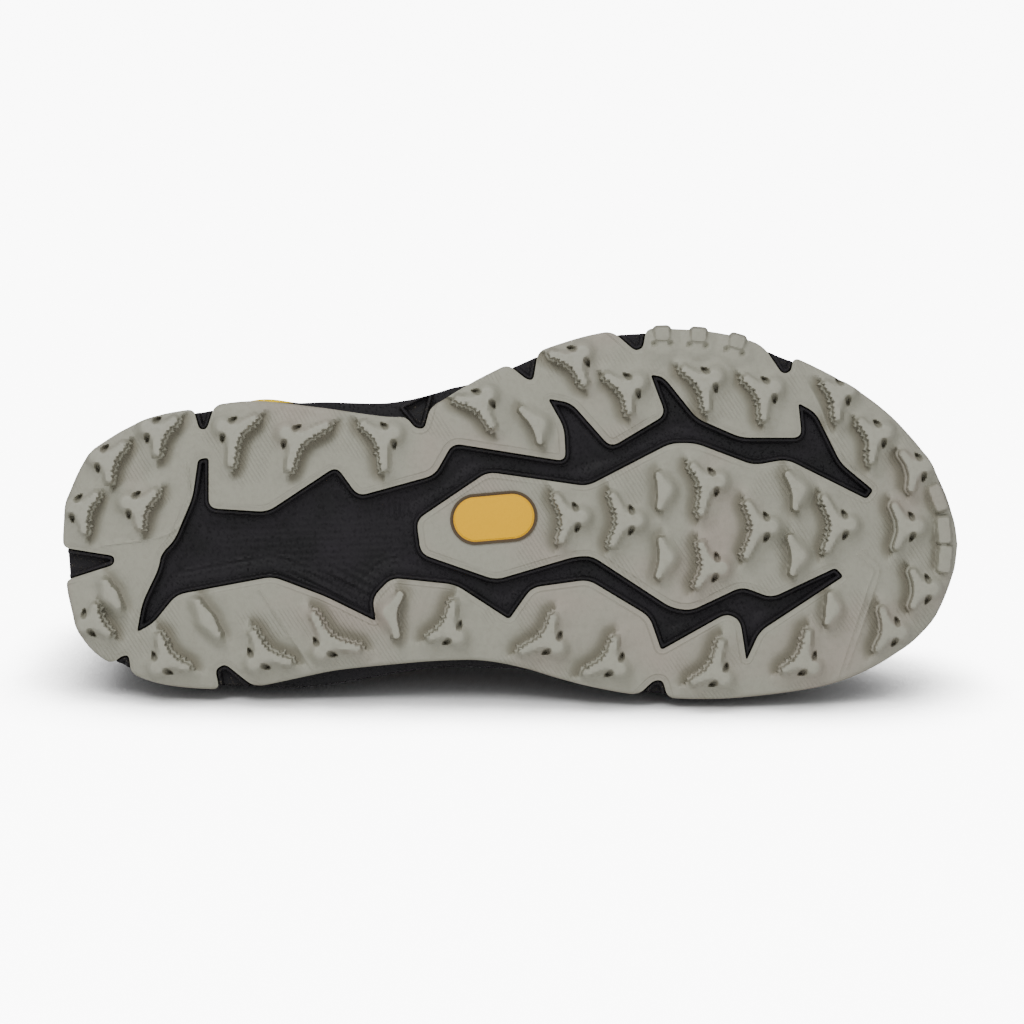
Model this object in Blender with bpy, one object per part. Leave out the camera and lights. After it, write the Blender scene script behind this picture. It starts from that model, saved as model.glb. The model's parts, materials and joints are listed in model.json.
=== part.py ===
"""Trail running shoe for the right foot, lying on its inner side.

The shoe is modelled upright in its own axes: x from the heel to the toe, y towards the inner side
of the foot, z up from the ground. The finished pieces hang on one empty, which lays the shoe down
on the inner edge of its sole and the inner side of its upper.
"""
import math
from collections import namedtuple

import bmesh
import bpy
import numpy as np
from mathutils import Matrix, Vector

# Driving sizes of the shoe, in metres
SOLE_LENGTH = 0.290
BALL_WIDTH = 0.121
HEEL_HEIGHT = 0.098
INSTEP_HEIGHT = 0.108
HEEL_STACK = 0.032
FOREFOOT_STACK = 0.028
TOE_SPRING = 0.012
HEEL_ROCKER = 0.003
EDGE_ROLL = 0.0018
CLEARANCE = 0.0003

# Rubber outsole
LUG_DEPTH = 0.0045
RUBBER = 0.003
LUG_SINK = 0.001
LUG_ARM = 0.0100
LUG_TAIL = 0.0074
LUG_WIDTH = 0.0068
LUG_DRAFT = 0.0008
LUG_SPREAD = math.radians(115)
BAR_WIDTH = 0.0070
EDGE_BLOCK_WIDTH = 0.0062
EDGE_BLOCK_REACH = 0.0042
BLOCK_STEP = 0.0016
CORNER_RADIUS = 0.0030
TIGHT_RADIUS = 0.0008
INSET_LENGTH = 0.0282
INSET_WIDTH = 0.0165
INSET_DEPTH = 0.0012
INSET_PROUD = 0.0004
INSET_TURN = math.radians(-5)

# Foam midsole
RUBBER_LIP = 0.0015
SIDE_DRAFT = 0.0030
RIM_DROP = 0.0006

# Upper and what lies on it and in it
UPPER_WALL = 0.002
FEATHER_INSET = 0.008
OVERLAY = 0.0012
OVERLAY_GAP = 0.0004
TONGUE_THICK = 0.0045
TONGUE_REACH = 0.021
TONGUE_CROWN = 0.16
COLLAR_PAD = 0.0055
INSOLE_THICK = 0.004
INSOLE_CUP = 0.003
EYELET_RADIUS = 0.0022
LACE_WIDTH = 0.0062
LACE_THICK = 0.0016
LACE_ARCH = 0.0022
LACE_LIFT = 0.0012
LINING_GAP = UPPER_WALL + CLEARANCE + 0.0002

# How finely the curved forms are divided
SIDE_STATIONS = 32
FORM_ROWS = 8
BED_COLUMNS = 5
INSOLE_COLUMNS = 4
EYELET_ROWS = 6
EYELET_SEGMENTS = 8
STADIUM_STEPS = 6

# Density of each piece's material, for the balance of the shoe, in kilograms per cubic metre
FOAM = 180
RUBBER_MIX = 1150
TEXTILE = 450

Edge = namedtuple("Edge", "along across tuck")
Corner = namedtuple("Corner", "along across round")
Notch = namedtuple("Notch", "mouth_a deep_a deep_b mouth_b")
Lug = namedtuple("Lug", "along across heading left right")
Bar = namedtuple("Bar", "middle start end")
Block = namedtuple("Block", "along across heading")
Section = namedtuple("Section", "share along heel instep centre half rise bulge reach drop")
Step = namedtuple("Step", "height out")

# The whole sole's edge from the heel's back to the toe's tip, as shares of the sole length and the
# ball width. tuck is how far the rubber stops short of the foam, as a share of the ball width.
OUTER_EDGE = (
    Edge(0.000, 0.020, 0), Edge(0.000, -0.040, 0), Edge(0.006, -0.133, 0), Edge(0.026, -0.231, 0),
    Edge(0.057, -0.292, 0), Edge(0.099, -0.340, 0), Edge(0.143, -0.362, 0), Edge(0.210, -0.384, 0),
    Edge(0.287, -0.382, 0.016), Edge(0.348, -0.378, 0.033), Edge(0.376, -0.384, 0.042),
    Edge(0.409, -0.401, 0.030), Edge(0.465, -0.448, 0.002), Edge(0.528, -0.515, 0),
    Edge(0.597, -0.565, 0), Edge(0.664, -0.577, 0), Edge(0.741, -0.561, 0), Edge(0.816, -0.500, 0),
    Edge(0.872, -0.433, 0), Edge(0.910, -0.374, 0), Edge(0.941, -0.305, 0), Edge(0.965, -0.235, 0),
    Edge(0.985, -0.146, 0), Edge(0.996, -0.066, 0), Edge(1.000, 0.000, 0),
)
INNER_EDGE = (
    Edge(0.000, 0.020, 0), Edge(0.002, 0.080, 0), Edge(0.006, 0.146, 0), Edge(0.017, 0.228, 0),
    Edge(0.036, 0.289, 0), Edge(0.075, 0.342, 0), Edge(0.116, 0.374, 0), Edge(0.171, 0.385, 0),
    Edge(0.217, 0.383, 0.006), Edge(0.265, 0.379, 0.025), Edge(0.310, 0.367, 0.034),
    Edge(0.376, 0.338, 0.021), Edge(0.420, 0.326, 0.017), Edge(0.465, 0.326, 0.018),
    Edge(0.509, 0.336, 0.010), Edge(0.553, 0.360, 0.003), Edge(0.597, 0.383, 0),
    Edge(0.642, 0.401, 0), Edge(0.697, 0.411, 0), Edge(0.758, 0.407, 0), Edge(0.841, 0.381, 0),
    Edge(0.893, 0.341, 0), Edge(0.935, 0.284, 0), Edge(0.957, 0.243, 0), Edge(0.975, 0.194, 0),
    Edge(0.987, 0.133, 0), Edge(0.996, 0.072, 0), Edge(1.000, 0.000, 0),
)

# The channel through the rubber: its inner bank from the heel forward, the island's shore round
# the heel end, and the outer bank back to the heel. round is the share of CORNER_RADIUS.
SOFT = 1.0
TIGHT = 0.0
INNER_BANK = (
    Corner(0.151, -0.228, TIGHT), Corner(0.145, -0.127, SOFT), Corner(0.125, -0.013, SOFT),
    Corner(0.110, 0.024, SOFT), Corner(0.107, 0.064, SOFT), Corner(0.089, 0.154, SOFT),
    Corner(0.083, 0.233, TIGHT), Corner(0.101, 0.210, SOFT), Corner(0.127, 0.133, SOFT),
    Corner(0.234, 0.085, SOFT), Corner(0.293, 0.138, SOFT), Corner(0.349, 0.204, TIGHT),
    Corner(0.345, 0.141, SOFT), Corner(0.366, 0.088, SOFT), Corner(0.437, 0.106, SOFT),
    Corner(0.497, 0.199, TIGHT), Corner(0.522, 0.114, SOFT), Corner(0.585, 0.093, SOFT),
    Corner(0.653, 0.191, SOFT), Corner(0.666, 0.281, TIGHT), Corner(0.739, 0.183, SOFT),
    Corner(0.754, 0.202, SOFT), Corner(0.761, 0.310, TIGHT), Corner(0.776, 0.231, SOFT),
    Corner(0.870, 0.085, TIGHT), Corner(0.861, 0.061, TIGHT),
)
ISLAND_SHORE = (
    Corner(0.789, 0.141, SOFT), Corner(0.756, 0.111, SOFT), Corner(0.699, 0.175, SOFT),
    Corner(0.677, 0.167, SOFT), Corner(0.589, 0.029, SOFT), Corner(0.570, 0.031, SOFT),
    Corner(0.482, 0.093, SOFT), Corner(0.399, 0.024, SOFT), Corner(0.394, -0.066, SOFT),
    Corner(0.473, -0.194, SOFT), Corner(0.584, -0.156, SOFT), Corner(0.677, -0.271, SOFT),
    Corner(0.704, -0.271, SOFT), Corner(0.769, -0.212, SOFT), Corner(0.806, -0.228, SOFT),
    Corner(0.896, -0.122, TIGHT), Corner(0.904, -0.146, TIGHT),
)
OUTER_BANK = (
    Corner(0.867, -0.218, SOFT), Corner(0.839, -0.353, SOFT), Corner(0.819, -0.379, TIGHT),
    Corner(0.823, -0.286, SOFT), Corner(0.755, -0.286, SOFT), Corner(0.706, -0.337, SOFT),
    Corner(0.669, -0.448, SOFT), Corner(0.654, -0.454, TIGHT), Corner(0.671, -0.347, SOFT),
    Corner(0.610, -0.260, SOFT), Corner(0.566, -0.379, SOFT), Corner(0.540, -0.390, TIGHT),
    Corner(0.558, -0.313, SOFT), Corner(0.560, -0.223, SOFT), Corner(0.434, -0.271, SOFT),
    Corner(0.414, -0.186, SOFT), Corner(0.329, -0.130, SOFT), Corner(0.305, -0.210, SOFT),
    Corner(0.228, -0.088, SOFT), Corner(0.163, -0.098, SOFT), Corner(0.163, -0.233, TIGHT),
)

# Bites out of the rubber's edge, each as its mouth and its floor (along, across)
NOTCHES = (
    Notch((-0.012, 0.003), (0.058, 0.029), (0.058, 0.053), (-0.012, 0.106)),
    Notch((0.141, -0.400), (0.152, -0.308), (0.161, -0.308), (0.175, -0.420)),
    Notch((0.372, -0.370), (0.393, -0.310), (0.403, -0.310), (0.415, -0.420)),
    Notch((0.486, -0.500), (0.517, -0.440), (0.524, -0.440), (0.532, -0.560)),
    Notch((0.600, -0.595), (0.637, -0.517), (0.646, -0.525), (0.652, -0.610)),
    Notch((0.768, -0.575), (0.801, -0.456), (0.811, -0.462), (0.818, -0.545)),
    Notch((0.040, 0.345), (0.066, 0.296), (0.074, 0.294), (0.078, 0.385)),
    Notch((0.177, 0.420), (0.170, 0.332), (0.181, 0.317), (0.232, 0.415)),
    Notch((0.628, 0.430), (0.658, 0.361), (0.668, 0.361), (0.678, 0.445)),
)

# Three-armed lugs: where they stand, where the tail points in degrees from the toe towards the
# inner side, and the two arms as shares of LUG_ARM
LUGS = (
    Lug(0.107, -0.300, -152, 0.85, 0.85), Lug(0.051, -0.225, -160, 0.90, 0.80),
    Lug(0.022, -0.093, -162, 0.85, 0.85), Lug(0.086, -0.101, -158, 0.88, 0.80),
    Lug(0.191, -0.300, -150, 1.00, 1.20), Lug(0.260, -0.279, -142, 1.30, 1.10),
    Lug(0.357, -0.284, -28, 1.15, 0.95), Lug(0.465, -0.377, -53, 1.00, 0.90),
    Lug(0.570, -0.491, -48, 0.95, 0.95), Lug(0.628, -0.416, -32, 0.90, 0.92),
    Lug(0.714, -0.432, -31, 1.00, 0.95), Lug(0.780, -0.406, -26, 1.00, 0.90),
    Lug(0.863, -0.403, -24, 0.95, 0.65), Lug(0.904, -0.292, -19, 1.00, 0.80),
    Lug(0.950, -0.204, -15, 0.85, 0.80), Lug(0.939, -0.048, -2, 0.88, 0.95),
    Lug(0.957, 0.119, 0, 0.78, 0.80), Lug(0.921, 0.231, 7, 0.84, 0.90),
    Lug(0.564, -0.072, -6, 0.95, 0.97), Lug(0.625, -0.066, 1, 1.05, 1.05),
    Lug(0.717, -0.164, -14, 1.15, 0.90), Lug(0.719, 0.058, 6, 0.87, 0.94),
    Lug(0.775, -0.048, -1, 1.20, 1.00), Lug(0.863, -0.053, -2, 1.05, 1.15),
    Lug(0.036, 0.202, 158, 0.65, 0.80), Lug(0.116, 0.305, 138, 0.95, 0.90),
    Lug(0.223, 0.292, 132, 0.95, 1.08), Lug(0.296, 0.260, 127, 1.20, 1.15),
    Lug(0.429, 0.225, 38, 0.80, 1.05), Lug(0.540, 0.252, 40, 1.10, 0.93),
    Lug(0.609, 0.310, 38, 1.05, 0.90), Lug(0.725, 0.337, 38, 0.93, 1.15),
    Lug(0.824, 0.308, 36, 0.85, 1.10),
)

# Half lugs, each a bent bar through its middle from one end to the other (along, across)
BARS = (
    Bar((0.530, -0.320), (0.509, -0.366), (0.532, -0.268)),
    Bar((0.670, -0.146), (0.662, -0.195), (0.664, -0.093)),
    Bar((0.672, 0.035), (0.665, -0.021), (0.662, 0.090)),
    Bar((0.819, -0.146), (0.805, -0.195), (0.815, -0.092)),
    Bar((0.819, 0.030), (0.808, -0.027), (0.811, 0.082)),
    Bar((0.055, 0.133), (0.047, 0.090), (0.067, 0.172)),
    Bar((0.162, 0.199), (0.149, 0.142), (0.177, 0.247)),
    Bar((0.364, 0.178), (0.378, 0.124), (0.373, 0.248)),
    Bar((0.857, 0.172), (0.854, 0.125), (0.850, 0.215)),
)

# Blocks that stand out of the sole's rim, with the way that each one faces in degrees
RIM_BLOCKS = (
    Block(0.667, -0.574, -92), Block(0.708, -0.570, -86), Block(0.752, -0.552, -74),
    Block(0.981, -0.129, -22), Block(0.988, -0.040, -6), Block(0.989, 0.040, 6),
)

INSET_PLACE = (0.480, -0.072)

# Steps and ribs of the foam's side from the rubber up to the rim: height as a share of the side,
# out as a share of SIDE_DRAFT
SIDE_STEPS = (
    Step(0.00, -0.20), Step(0.09, 0.00), Step(0.33, 0.04), Step(0.38, -0.34), Step(0.46, -0.34),
    Step(0.51, -0.05), Step(0.74, -0.14), Step(1.00, -1.00),
)

# Half sections of the upper from the heel's back (share 0) to the toe's tip (share 1) along the
# sole's edge. along and the height place the top of the section, where heel and instep are shares
# of HEEL_HEIGHT and INSTEP_HEIGHT. centre and half are shares of BALL_WIDTH. rise, reach and drop
# are shares of the section's own height and width, and bulge one of FEATHER_INSET.
SECTIONS = (
    Section(0.00, 0.052, 1.00, 0, 0.012, 0.000, 0.36, 0.50, 0.05, 0.40),
    Section(0.05, 0.058, 0.99, 0, 0.008, 0.116, 0.36, 0.50, 0.10, 0.40),
    Section(0.10, 0.082, 0.96, 0, 0.006, 0.200, 0.36, 0.50, 0.20, 0.40),
    Section(0.15, 0.124, 0.92, 0, 0.006, 0.242, 0.36, 0.48, 0.25, 0.38),
    Section(0.20, 0.169, 0.88, 0, 0.004, 0.258, 0.36, 0.45, 0.28, 0.36),
    Section(0.25, 0.217, 0.86, 0, 0.002, 0.268, 0.36, 0.42, 0.30, 0.34),
    Section(0.30, 0.269, 0.865, 0, 0.000, 0.268, 0.38, 0.40, 0.30, 0.32),
    Section(0.35, 0.320, 0.91, 0, -0.002, 0.250, 0.40, 0.38, 0.30, 0.28),
    Section(0.40, 0.368, 0, 0.91, -0.004, 0.202, 0.42, 0.36, 0.32, 0.24),
    Section(0.44, 0.400, 0, 1.00, -0.005, 0.140, 0.44, 0.35, 0.36, 0.20),
    Section(0.50, 0.465, 0, 0.93, -0.010, 0.110, 0.44, 0.35, 0.38, 0.18),
    Section(0.58, 0.552, 0, 0.82, -0.020, 0.095, 0.44, 0.36, 0.40, 0.14),
    Section(0.66, 0.641, 0, 0.72, -0.028, 0.070, 0.44, 0.38, 0.42, 0.10),
    Section(0.70, 0.680, 0, 0.68, -0.030, 0.000, 0.45, 0.40, 0.44, 0.06),
    Section(0.80, 0.775, 0, 0.63, -0.028, 0.000, 0.48, 0.42, 0.50, 0.02),
    Section(0.90, 0.860, 0, 0.592, -0.020, 0.000, 0.52, 0.44, 0.55, 0.00),
    Section(1.00, 0.908, 0, 0.555, -0.014, 0.000, 0.58, 0.46, 0.62, 0.00),
)
TOE_RISE_START = 0.68
HEEL_RISE_END = 0.065
BED_FALL_START = 0.25
BED_FALL_END = 0.65
BED_SPRING = 0.8
ROLL_POWER = 6
COLLAR_FRONT = 0.37
THROAT_TOP = 0.44
THROAT_END = 0.70
RIM_ROW = 1

# Where the overlays start and end on the upper, as shares along its side and up its section
TOE_CAP_START = 0.80
TOE_CAP_HEIGHT = 0.62
TOE_CAP_TAIL = 0.30
COUNTER_END = 0.19
COUNTER_HEIGHT = 0.62
COUNTER_TAIL = 0.30
OVERLAY_FOOT = 0.17
EYESTAY_FOOT = 0.76
EYELET_HEIGHT = 0.88
TONGUE_FOOT = 0.78
TONGUE_START = 0.76
TONGUE_TOP = ((0.30, 0.98), (0.60, 0.93), (0.85, 0.80), (1.00, 0.60))
PAD_FOOT = 0.56
PAD_TOP = 0.985


def remove_old_objects():
    """Empty the scene."""
    for old in list(bpy.data.objects):
        bpy.data.objects.remove(old, do_unlink=True)


def finish(name, red, green, blue, roughness, metallic=0.0):
    """A plain Principled material; the colour is given as it looks on a screen, 0 to 255."""
    def linear(value):
        share = value / 255
        return share / 12.92 if share <= 0.04045 else ((share + 0.055) / 1.055) ** 2.4

    material = bpy.data.materials.new(name)
    material.use_nodes = True
    shader = material.node_tree.nodes["Principled BSDF"]
    shader.inputs["Base Color"].default_value = (linear(red), linear(green), linear(blue), 1)
    shader.inputs["Roughness"].default_value = roughness
    shader.inputs["Metallic"].default_value = metallic
    return material


def monotone(xs, ys, x):
    """A smooth curve through the rows of a table that never overshoots them."""
    xs = np.asarray(xs, float)
    ys = np.asarray(ys, float)
    step = np.diff(xs)
    slope = np.diff(ys) / step
    tangent = np.zeros_like(ys)
    tangent[0] = slope[0]
    tangent[-1] = slope[-1]
    for i in range(1, len(xs) - 1):
        if slope[i - 1] * slope[i] > 0:
            tangent[i] = 2 * slope[i - 1] * slope[i] / (slope[i - 1] + slope[i])
    i = int(np.clip(np.searchsorted(xs, x, side="right") - 1, 0, len(xs) - 2))
    t = (x - xs[i]) / step[i]
    rise = ys[i + 1] - ys[i]
    return float(ys[i] + step[i] * (t ** 3 - 2 * t ** 2 + t) * tangent[i]
                 + step[i] * (t ** 3 - t ** 2) * tangent[i + 1] + (3 * t ** 2 - 2 * t ** 3) * rise)


def smooth_path(points, steps):
    """Catmull-Rom curve through the points, steps to a span."""
    points = np.asarray(points, float)
    padded = np.vstack((2 * points[0] - points[1], points, 2 * points[-1] - points[-2]))
    path = []
    for i in range(1, len(padded) - 2):
        before, start, end, after = padded[i - 1:i + 3]
        for t in np.linspace(0, 1, steps, endpoint=False):
            path.append(0.5 * (2 * start + (end - before) * t
                               + (2 * before - 5 * start + 4 * end - after) * t ** 2
                               + (3 * start - before - 3 * end + after) * t ** 3))
    path.append(padded[-2])
    return np.array(path)


def edge_stations(table):
    """The sole's edge at equal shares of its length: columns x, y, tuck, and the outward normal."""
    rows = [(e.along * SOLE_LENGTH, e.across * BALL_WIDTH, e.tuck * BALL_WIDTH) for e in table]
    path = smooth_path(rows, 8)
    length = np.concatenate(([0], np.cumsum(np.hypot(*np.diff(path[:, :2], axis=0).T))))
    shares = np.linspace(0, length[-1], SIDE_STATIONS + 1)
    points = np.array([[np.interp(s, length, path[:, k]) for k in range(3)] for s in shares])
    return points


OUTER = edge_stations(OUTER_EDGE)
INNER = edge_stations(INNER_EDGE)
RING = 2 * SIDE_STATIONS


def ring_point(column):
    """The edge point of a ring column, which runs from the toe's tip over the outer side."""
    column %= RING
    if column <= SIDE_STATIONS:
        return OUTER[SIDE_STATIONS - column]
    return INNER[column - SIDE_STATIONS]


def ring_share(column):
    """How far a ring column lies from the heel's back, 0, to the toe's tip, 1."""
    return abs((column % RING) - SIDE_STATIONS) / SIDE_STATIONS


def ring_normal(column):
    """Outward direction of the sole's edge in plan."""
    ahead = ring_point(column + 1)[:2]
    behind = ring_point(column - 1)[:2]
    along = ahead - behind
    normal = np.array((along[1], -along[0], 0.0))
    return -normal / np.linalg.norm(normal)


def side_of(column):
    """-1 on the outer side of the foot, +1 on the inner side, 0 at the heel's back and the toe."""
    column %= RING
    if column in (0, SIDE_STATIONS):
        return 0
    return -1 if column < SIDE_STATIONS else 1


def half_width(x):
    """Across positions of the outer and the inner edge at a distance x along the sole."""
    outer = np.interp(x, OUTER[:, 0], OUTER[:, 1])
    inner = np.interp(x, INNER[:, 0], INNER[:, 1])
    return outer, inner


def toe_rise(x):
    """How far the ground surface lifts towards the toe and the heel's back."""
    toe_start = TOE_RISE_START * SOLE_LENGTH
    heel_start = HEEL_RISE_END * SOLE_LENGTH
    toe = max(0.0, (x - toe_start) / (SOLE_LENGTH - toe_start)) ** 2
    heel = max(0.0, (heel_start - x) / heel_start) ** 2
    return TOE_SPRING * toe + HEEL_ROCKER * heel


def tread(x, y):
    """Height of the lugs' tops over the ground: spring, rocker and a slight roll to the edges."""
    outer, inner = half_width(x)
    across = (2 * y - outer - inner) / max(inner - outer, 0.02)
    return toe_rise(x) + EDGE_ROLL * min(abs(across), 1.1) ** ROLL_POWER


def bed(x):
    """Height of the foam's top, which the insole lies on."""
    share = min(max((x / SOLE_LENGTH - BED_FALL_START) / (BED_FALL_END - BED_FALL_START), 0.0), 1.0)
    blend = share * share * (3 - 2 * share)
    return HEEL_STACK + (FOREFOOT_STACK - HEEL_STACK) * blend + BED_SPRING * toe_rise(x)


def section_value(share, column_name):
    """One column of the section table at a share of the side."""
    return monotone([s.share for s in SECTIONS], [getattr(s, column_name) for s in SECTIONS], share)


class UpperForm:
    """The outer skin of the upper as a ring of sections, sampled once and used by every piece."""

    def __init__(self):
        self.points = np.array([self.section(c) for c in range(RING)])
        self.normals = self.find_normals()

    @staticmethod
    def section(column):
        """One section from the sole up to the collar, the throat's edge or the vamp's ridge."""
        share = ring_share(column)
        edge = ring_point(column)
        outward = ring_normal(column)
        foot = np.array((edge[0], edge[1], 0.0)) - FEATHER_INSET * outward
        foot[2] = bed(foot[0]) + CLEARANCE
        top = np.array((
            section_value(share, "along") * SOLE_LENGTH,
            (section_value(share, "centre") + side_of(column) * section_value(share, "half")) * BALL_WIDTH,
            section_value(share, "heel") * HEEL_HEIGHT + section_value(share, "instep") * INSTEP_HEIGHT))
        height = top[2] - foot[2]
        up = np.array((0.0, 0.0, 1.0))
        flat = np.array((foot[0] - top[0], foot[1] - top[1], 0.0))
        low = (foot + section_value(share, "bulge") * FEATHER_INSET * outward
               + section_value(share, "rise") * height * up)
        high = (top + section_value(share, "reach") * flat - section_value(share, "drop") * height * up)
        rows = []
        for j in range(FORM_ROWS + 1):
            t = j / FORM_ROWS
            rows.append((1 - t) ** 3 * foot + 3 * (1 - t) ** 2 * t * low
                        + 3 * (1 - t) * t ** 2 * high + t ** 3 * top)
        return rows

    def find_normals(self):
        """Outward normals; where the two sides meet on the ridge they share one normal."""
        around = np.roll(self.points, -1, axis=0) - np.roll(self.points, 1, axis=0)
        upward = np.gradient(self.points, axis=1)
        normals = np.cross(upward, around)
        normals /= np.maximum(np.linalg.norm(normals, axis=2, keepdims=True), 1e-9)
        for column in range(1, SIDE_STATIONS):
            if ring_share(column) >= THROAT_END - 1e-6:
                partner = RING - column
                shared = normals[column, -1] + normals[partner, -1]
                shared /= np.linalg.norm(shared)
                normals[column, -1] = shared
                normals[partner, -1] = shared
        normals[0, -1] = normals[1, -1]
        return normals

    def at(self, column, height, lift=0.0):
        """A point on the skin, lifted off it; height runs from 0 at the sole to 1 at the top."""
        column %= RING
        place = min(max(height, 0.0), 1.0) * FORM_ROWS
        row = min(int(place), FORM_ROWS - 1)
        t = place - row
        point = (1 - t) * self.points[column, row] + t * self.points[column, row + 1]
        normal = (1 - t) * self.normals[column, row] + t * self.normals[column, row + 1]
        return point + lift * normal / np.linalg.norm(normal)


def column_at(share, side):
    """The ring column nearest to a share of the outer (-1) or the inner (+1) side."""
    return int(round(SIDE_STATIONS + side * share * SIDE_STATIONS)) % RING


def new_object(name, mesh_builder, material, weld=1e-6, recalc=True):
    """Make an object from a function that fills a bmesh."""
    bm = bmesh.new()
    mesh_builder(bm)
    bmesh.ops.remove_doubles(bm, verts=bm.verts, dist=weld)
    bmesh.ops.dissolve_degenerate(bm, edges=bm.edges, dist=weld)
    if recalc:
        bmesh.ops.recalc_face_normals(bm, faces=bm.faces)
    mesh = bpy.data.meshes.new(name)
    bm.to_mesh(mesh)
    bm.free()
    made = bpy.data.objects.new(name, mesh)
    if material is not None:
        mesh.materials.append(material)
    bpy.context.scene.collection.objects.link(made)
    return made


def shade_round(piece, angle=35):
    """Shade a round piece smooth, with its corners kept sharp."""
    piece.data.shade_smooth()
    piece.data.set_sharp_from_angle(angle=math.radians(angle))


def add_grid(bm, rows, close=False):
    """Faces over rows of points; close joins each row's end to its start."""
    verts = [[bm.verts.new(point) for point in row] for row in rows]
    width = len(rows[0])
    last = width if close else width - 1
    for low, high in zip(verts, verts[1:]):
        for j in range(last):
            bm.faces.new((low[j], low[(j + 1) % width], high[(j + 1) % width], high[j]))
    return verts


def add_slab(bm, lower, upper):
    """A closed slab between two grids of points whose first and last rows have shrunk to points."""
    sections = [list(low) + list(reversed(high)) for low, high in zip(lower, upper)]
    add_grid(bm, sections, close=True)


def add_prism(bm, outline, top_of, bottom_of, top_outline=None):
    """A closed prism over an outline in plan, between two heights given by functions of x and y."""
    tops = top_outline or outline
    low = [bm.verts.new((x, y, bottom_of(x, y))) for x, y in outline]
    high = [bm.verts.new((x, y, top_of(x, y))) for x, y in tops]
    count = len(outline)
    for j in range(count):
        k = (j + 1) % count
        bm.faces.new((low[j], low[k], high[k], high[j]))
    bm.faces.new(low)
    bm.faces.new(high)


def rounded(corners, steps=3):
    """Round the corners of a closed outline; each corner is a point and its radius."""
    outline = []
    count = len(corners)
    for i, (point, radius) in enumerate(corners):
        point = np.array(point)
        before = np.array(corners[i - 1][0]) - point
        after = np.array(corners[(i + 1) % count][0]) - point
        reach_a = min(radius, 0.42 * np.linalg.norm(before))
        reach_b = min(radius, 0.42 * np.linalg.norm(after))
        start = point + before / np.linalg.norm(before) * reach_a
        end = point + after / np.linalg.norm(after) * reach_b
        for t in np.linspace(0, 1, steps):
            outline.append((1 - t) ** 2 * start + 2 * (1 - t) * t * point + t ** 2 * end)
    return [(float(p[0]), float(p[1])) for p in outline]


def plan(along, across):
    """A place on the sole in metres from its shares."""
    return along * SOLE_LENGTH, across * BALL_WIDTH


def channel_outline():
    """The one winding channel, as the opening in the rubber."""
    corners = INNER_BANK + ISLAND_SHORE + OUTER_BANK
    return rounded([(plan(c.along, c.across), max(c.round * CORNER_RADIUS, TIGHT_RADIUS))
                    for c in corners])


def stadium(length, width, turn, centre, steps=STADIUM_STEPS):
    """An outline with straight sides and round ends."""
    radius = width / 2
    straight = length / 2 - radius
    outline = []
    for end, start in ((1, -math.pi / 2), (-1, math.pi / 2)):
        for i in range(steps + 1):
            angle = start + math.pi * i / steps
            u = end * straight + radius * math.cos(angle)
            v = radius * math.sin(angle)
            outline.append((centre[0] + u * math.cos(turn) - v * math.sin(turn),
                            centre[1] + u * math.sin(turn) + v * math.cos(turn)))
    return outline


def lug_outline(lug, shrink):
    """A three-armed lug in plan: two swept arms and a short tail."""
    centre = np.array(plan(lug.along, lug.across))
    heading = math.radians(lug.heading)
    arms = ((heading, LUG_TAIL), (heading + LUG_SPREAD, lug.left * LUG_ARM),
            (heading - LUG_SPREAD + 2 * math.pi, lug.right * LUG_ARM))
    half = LUG_WIDTH / 2 - shrink
    outline = []
    for i, (angle, reach) in enumerate(arms):
        along = np.array((math.cos(angle), math.sin(angle)))
        side = np.array((-along[1], along[0]))
        reach -= shrink
        for v in (-0.85 * half, 0.85 * half):
            outline.append(centre + reach * along + v * side)
        following = arms[(i + 1) % 3][0] + (2 * math.pi if i == 2 else 0)
        middle = (angle + following) / 2
        opening = (following - angle) / 2
        crotch = half / math.sin(opening)
        outline.append(centre + crotch * np.array((math.cos(middle), math.sin(middle))))
    return [(float(p[0]), float(p[1])) for p in outline]


def bar_outline(bar, shrink):
    """A half lug in plan: a bent bar of even width."""
    middle, start, end = (np.array(plan(*place)) for place in (bar.middle, bar.start, bar.end))
    half = BAR_WIDTH / 2 - shrink
    first = (middle - start) / np.linalg.norm(middle - start)
    last = (end - middle) / np.linalg.norm(end - middle)
    mean = (first + last) / np.linalg.norm(first + last)

    def turn(v):
        return np.array((-v[1], v[0]))

    start = start + shrink * first
    end = end - shrink * last
    points = (start + half * turn(first), middle + half * turn(mean), end + half * turn(last),
              end - half * turn(last), middle - half * turn(mean), start - half * turn(first))
    return [(float(p[0]), float(p[1])) for p in points]


def block_outline(block, shrink):
    """A rim block in plan, which stands out past the sole's edge."""
    centre = np.array(plan(block.along, block.across))
    angle = math.radians(block.heading)
    out = np.array((math.cos(angle), math.sin(angle)))
    side = np.array((-out[1], out[0]))
    reach = EDGE_BLOCK_REACH
    half = EDGE_BLOCK_WIDTH / 2 - shrink
    points = [centre + u * out + v * side
              for u, v in ((-reach, -half), (0.35 * reach - shrink, -half),
                           (0.35 * reach - shrink, half), (-reach, half))]
    return [(float(p[0]), float(p[1])) for p in points]


def rubber_edge(column):
    """The rubber's edge in plan: the sole's edge less the tuck at the waist."""
    x, y, tuck = ring_point(column)
    return np.array((x, y, 0.0)) - tuck * ring_normal(column)


def ground_face(x, y):
    """Height of the rubber's lower face between the lugs."""
    return tread(x, y) + LUG_DEPTH


def foam_floor(x, y):
    """Height of the foam's lower face."""
    return ground_face(x, y) + RUBBER + CLEARANCE


def cross_rows(edge_of, height_of, columns):
    """A grid of points between the outer and the inner edge of each station."""
    rows = []
    for i in range(SIDE_STATIONS + 1):
        outer = edge_of(SIDE_STATIONS - i)
        inner = edge_of(SIDE_STATIONS + i)
        row = []
        for k in range(columns + 1):
            point = outer + (inner - outer) * k / columns
            row.append((point[0], point[1], height_of(point[0], point[1])))
        rows.append(row)
    return rows


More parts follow.
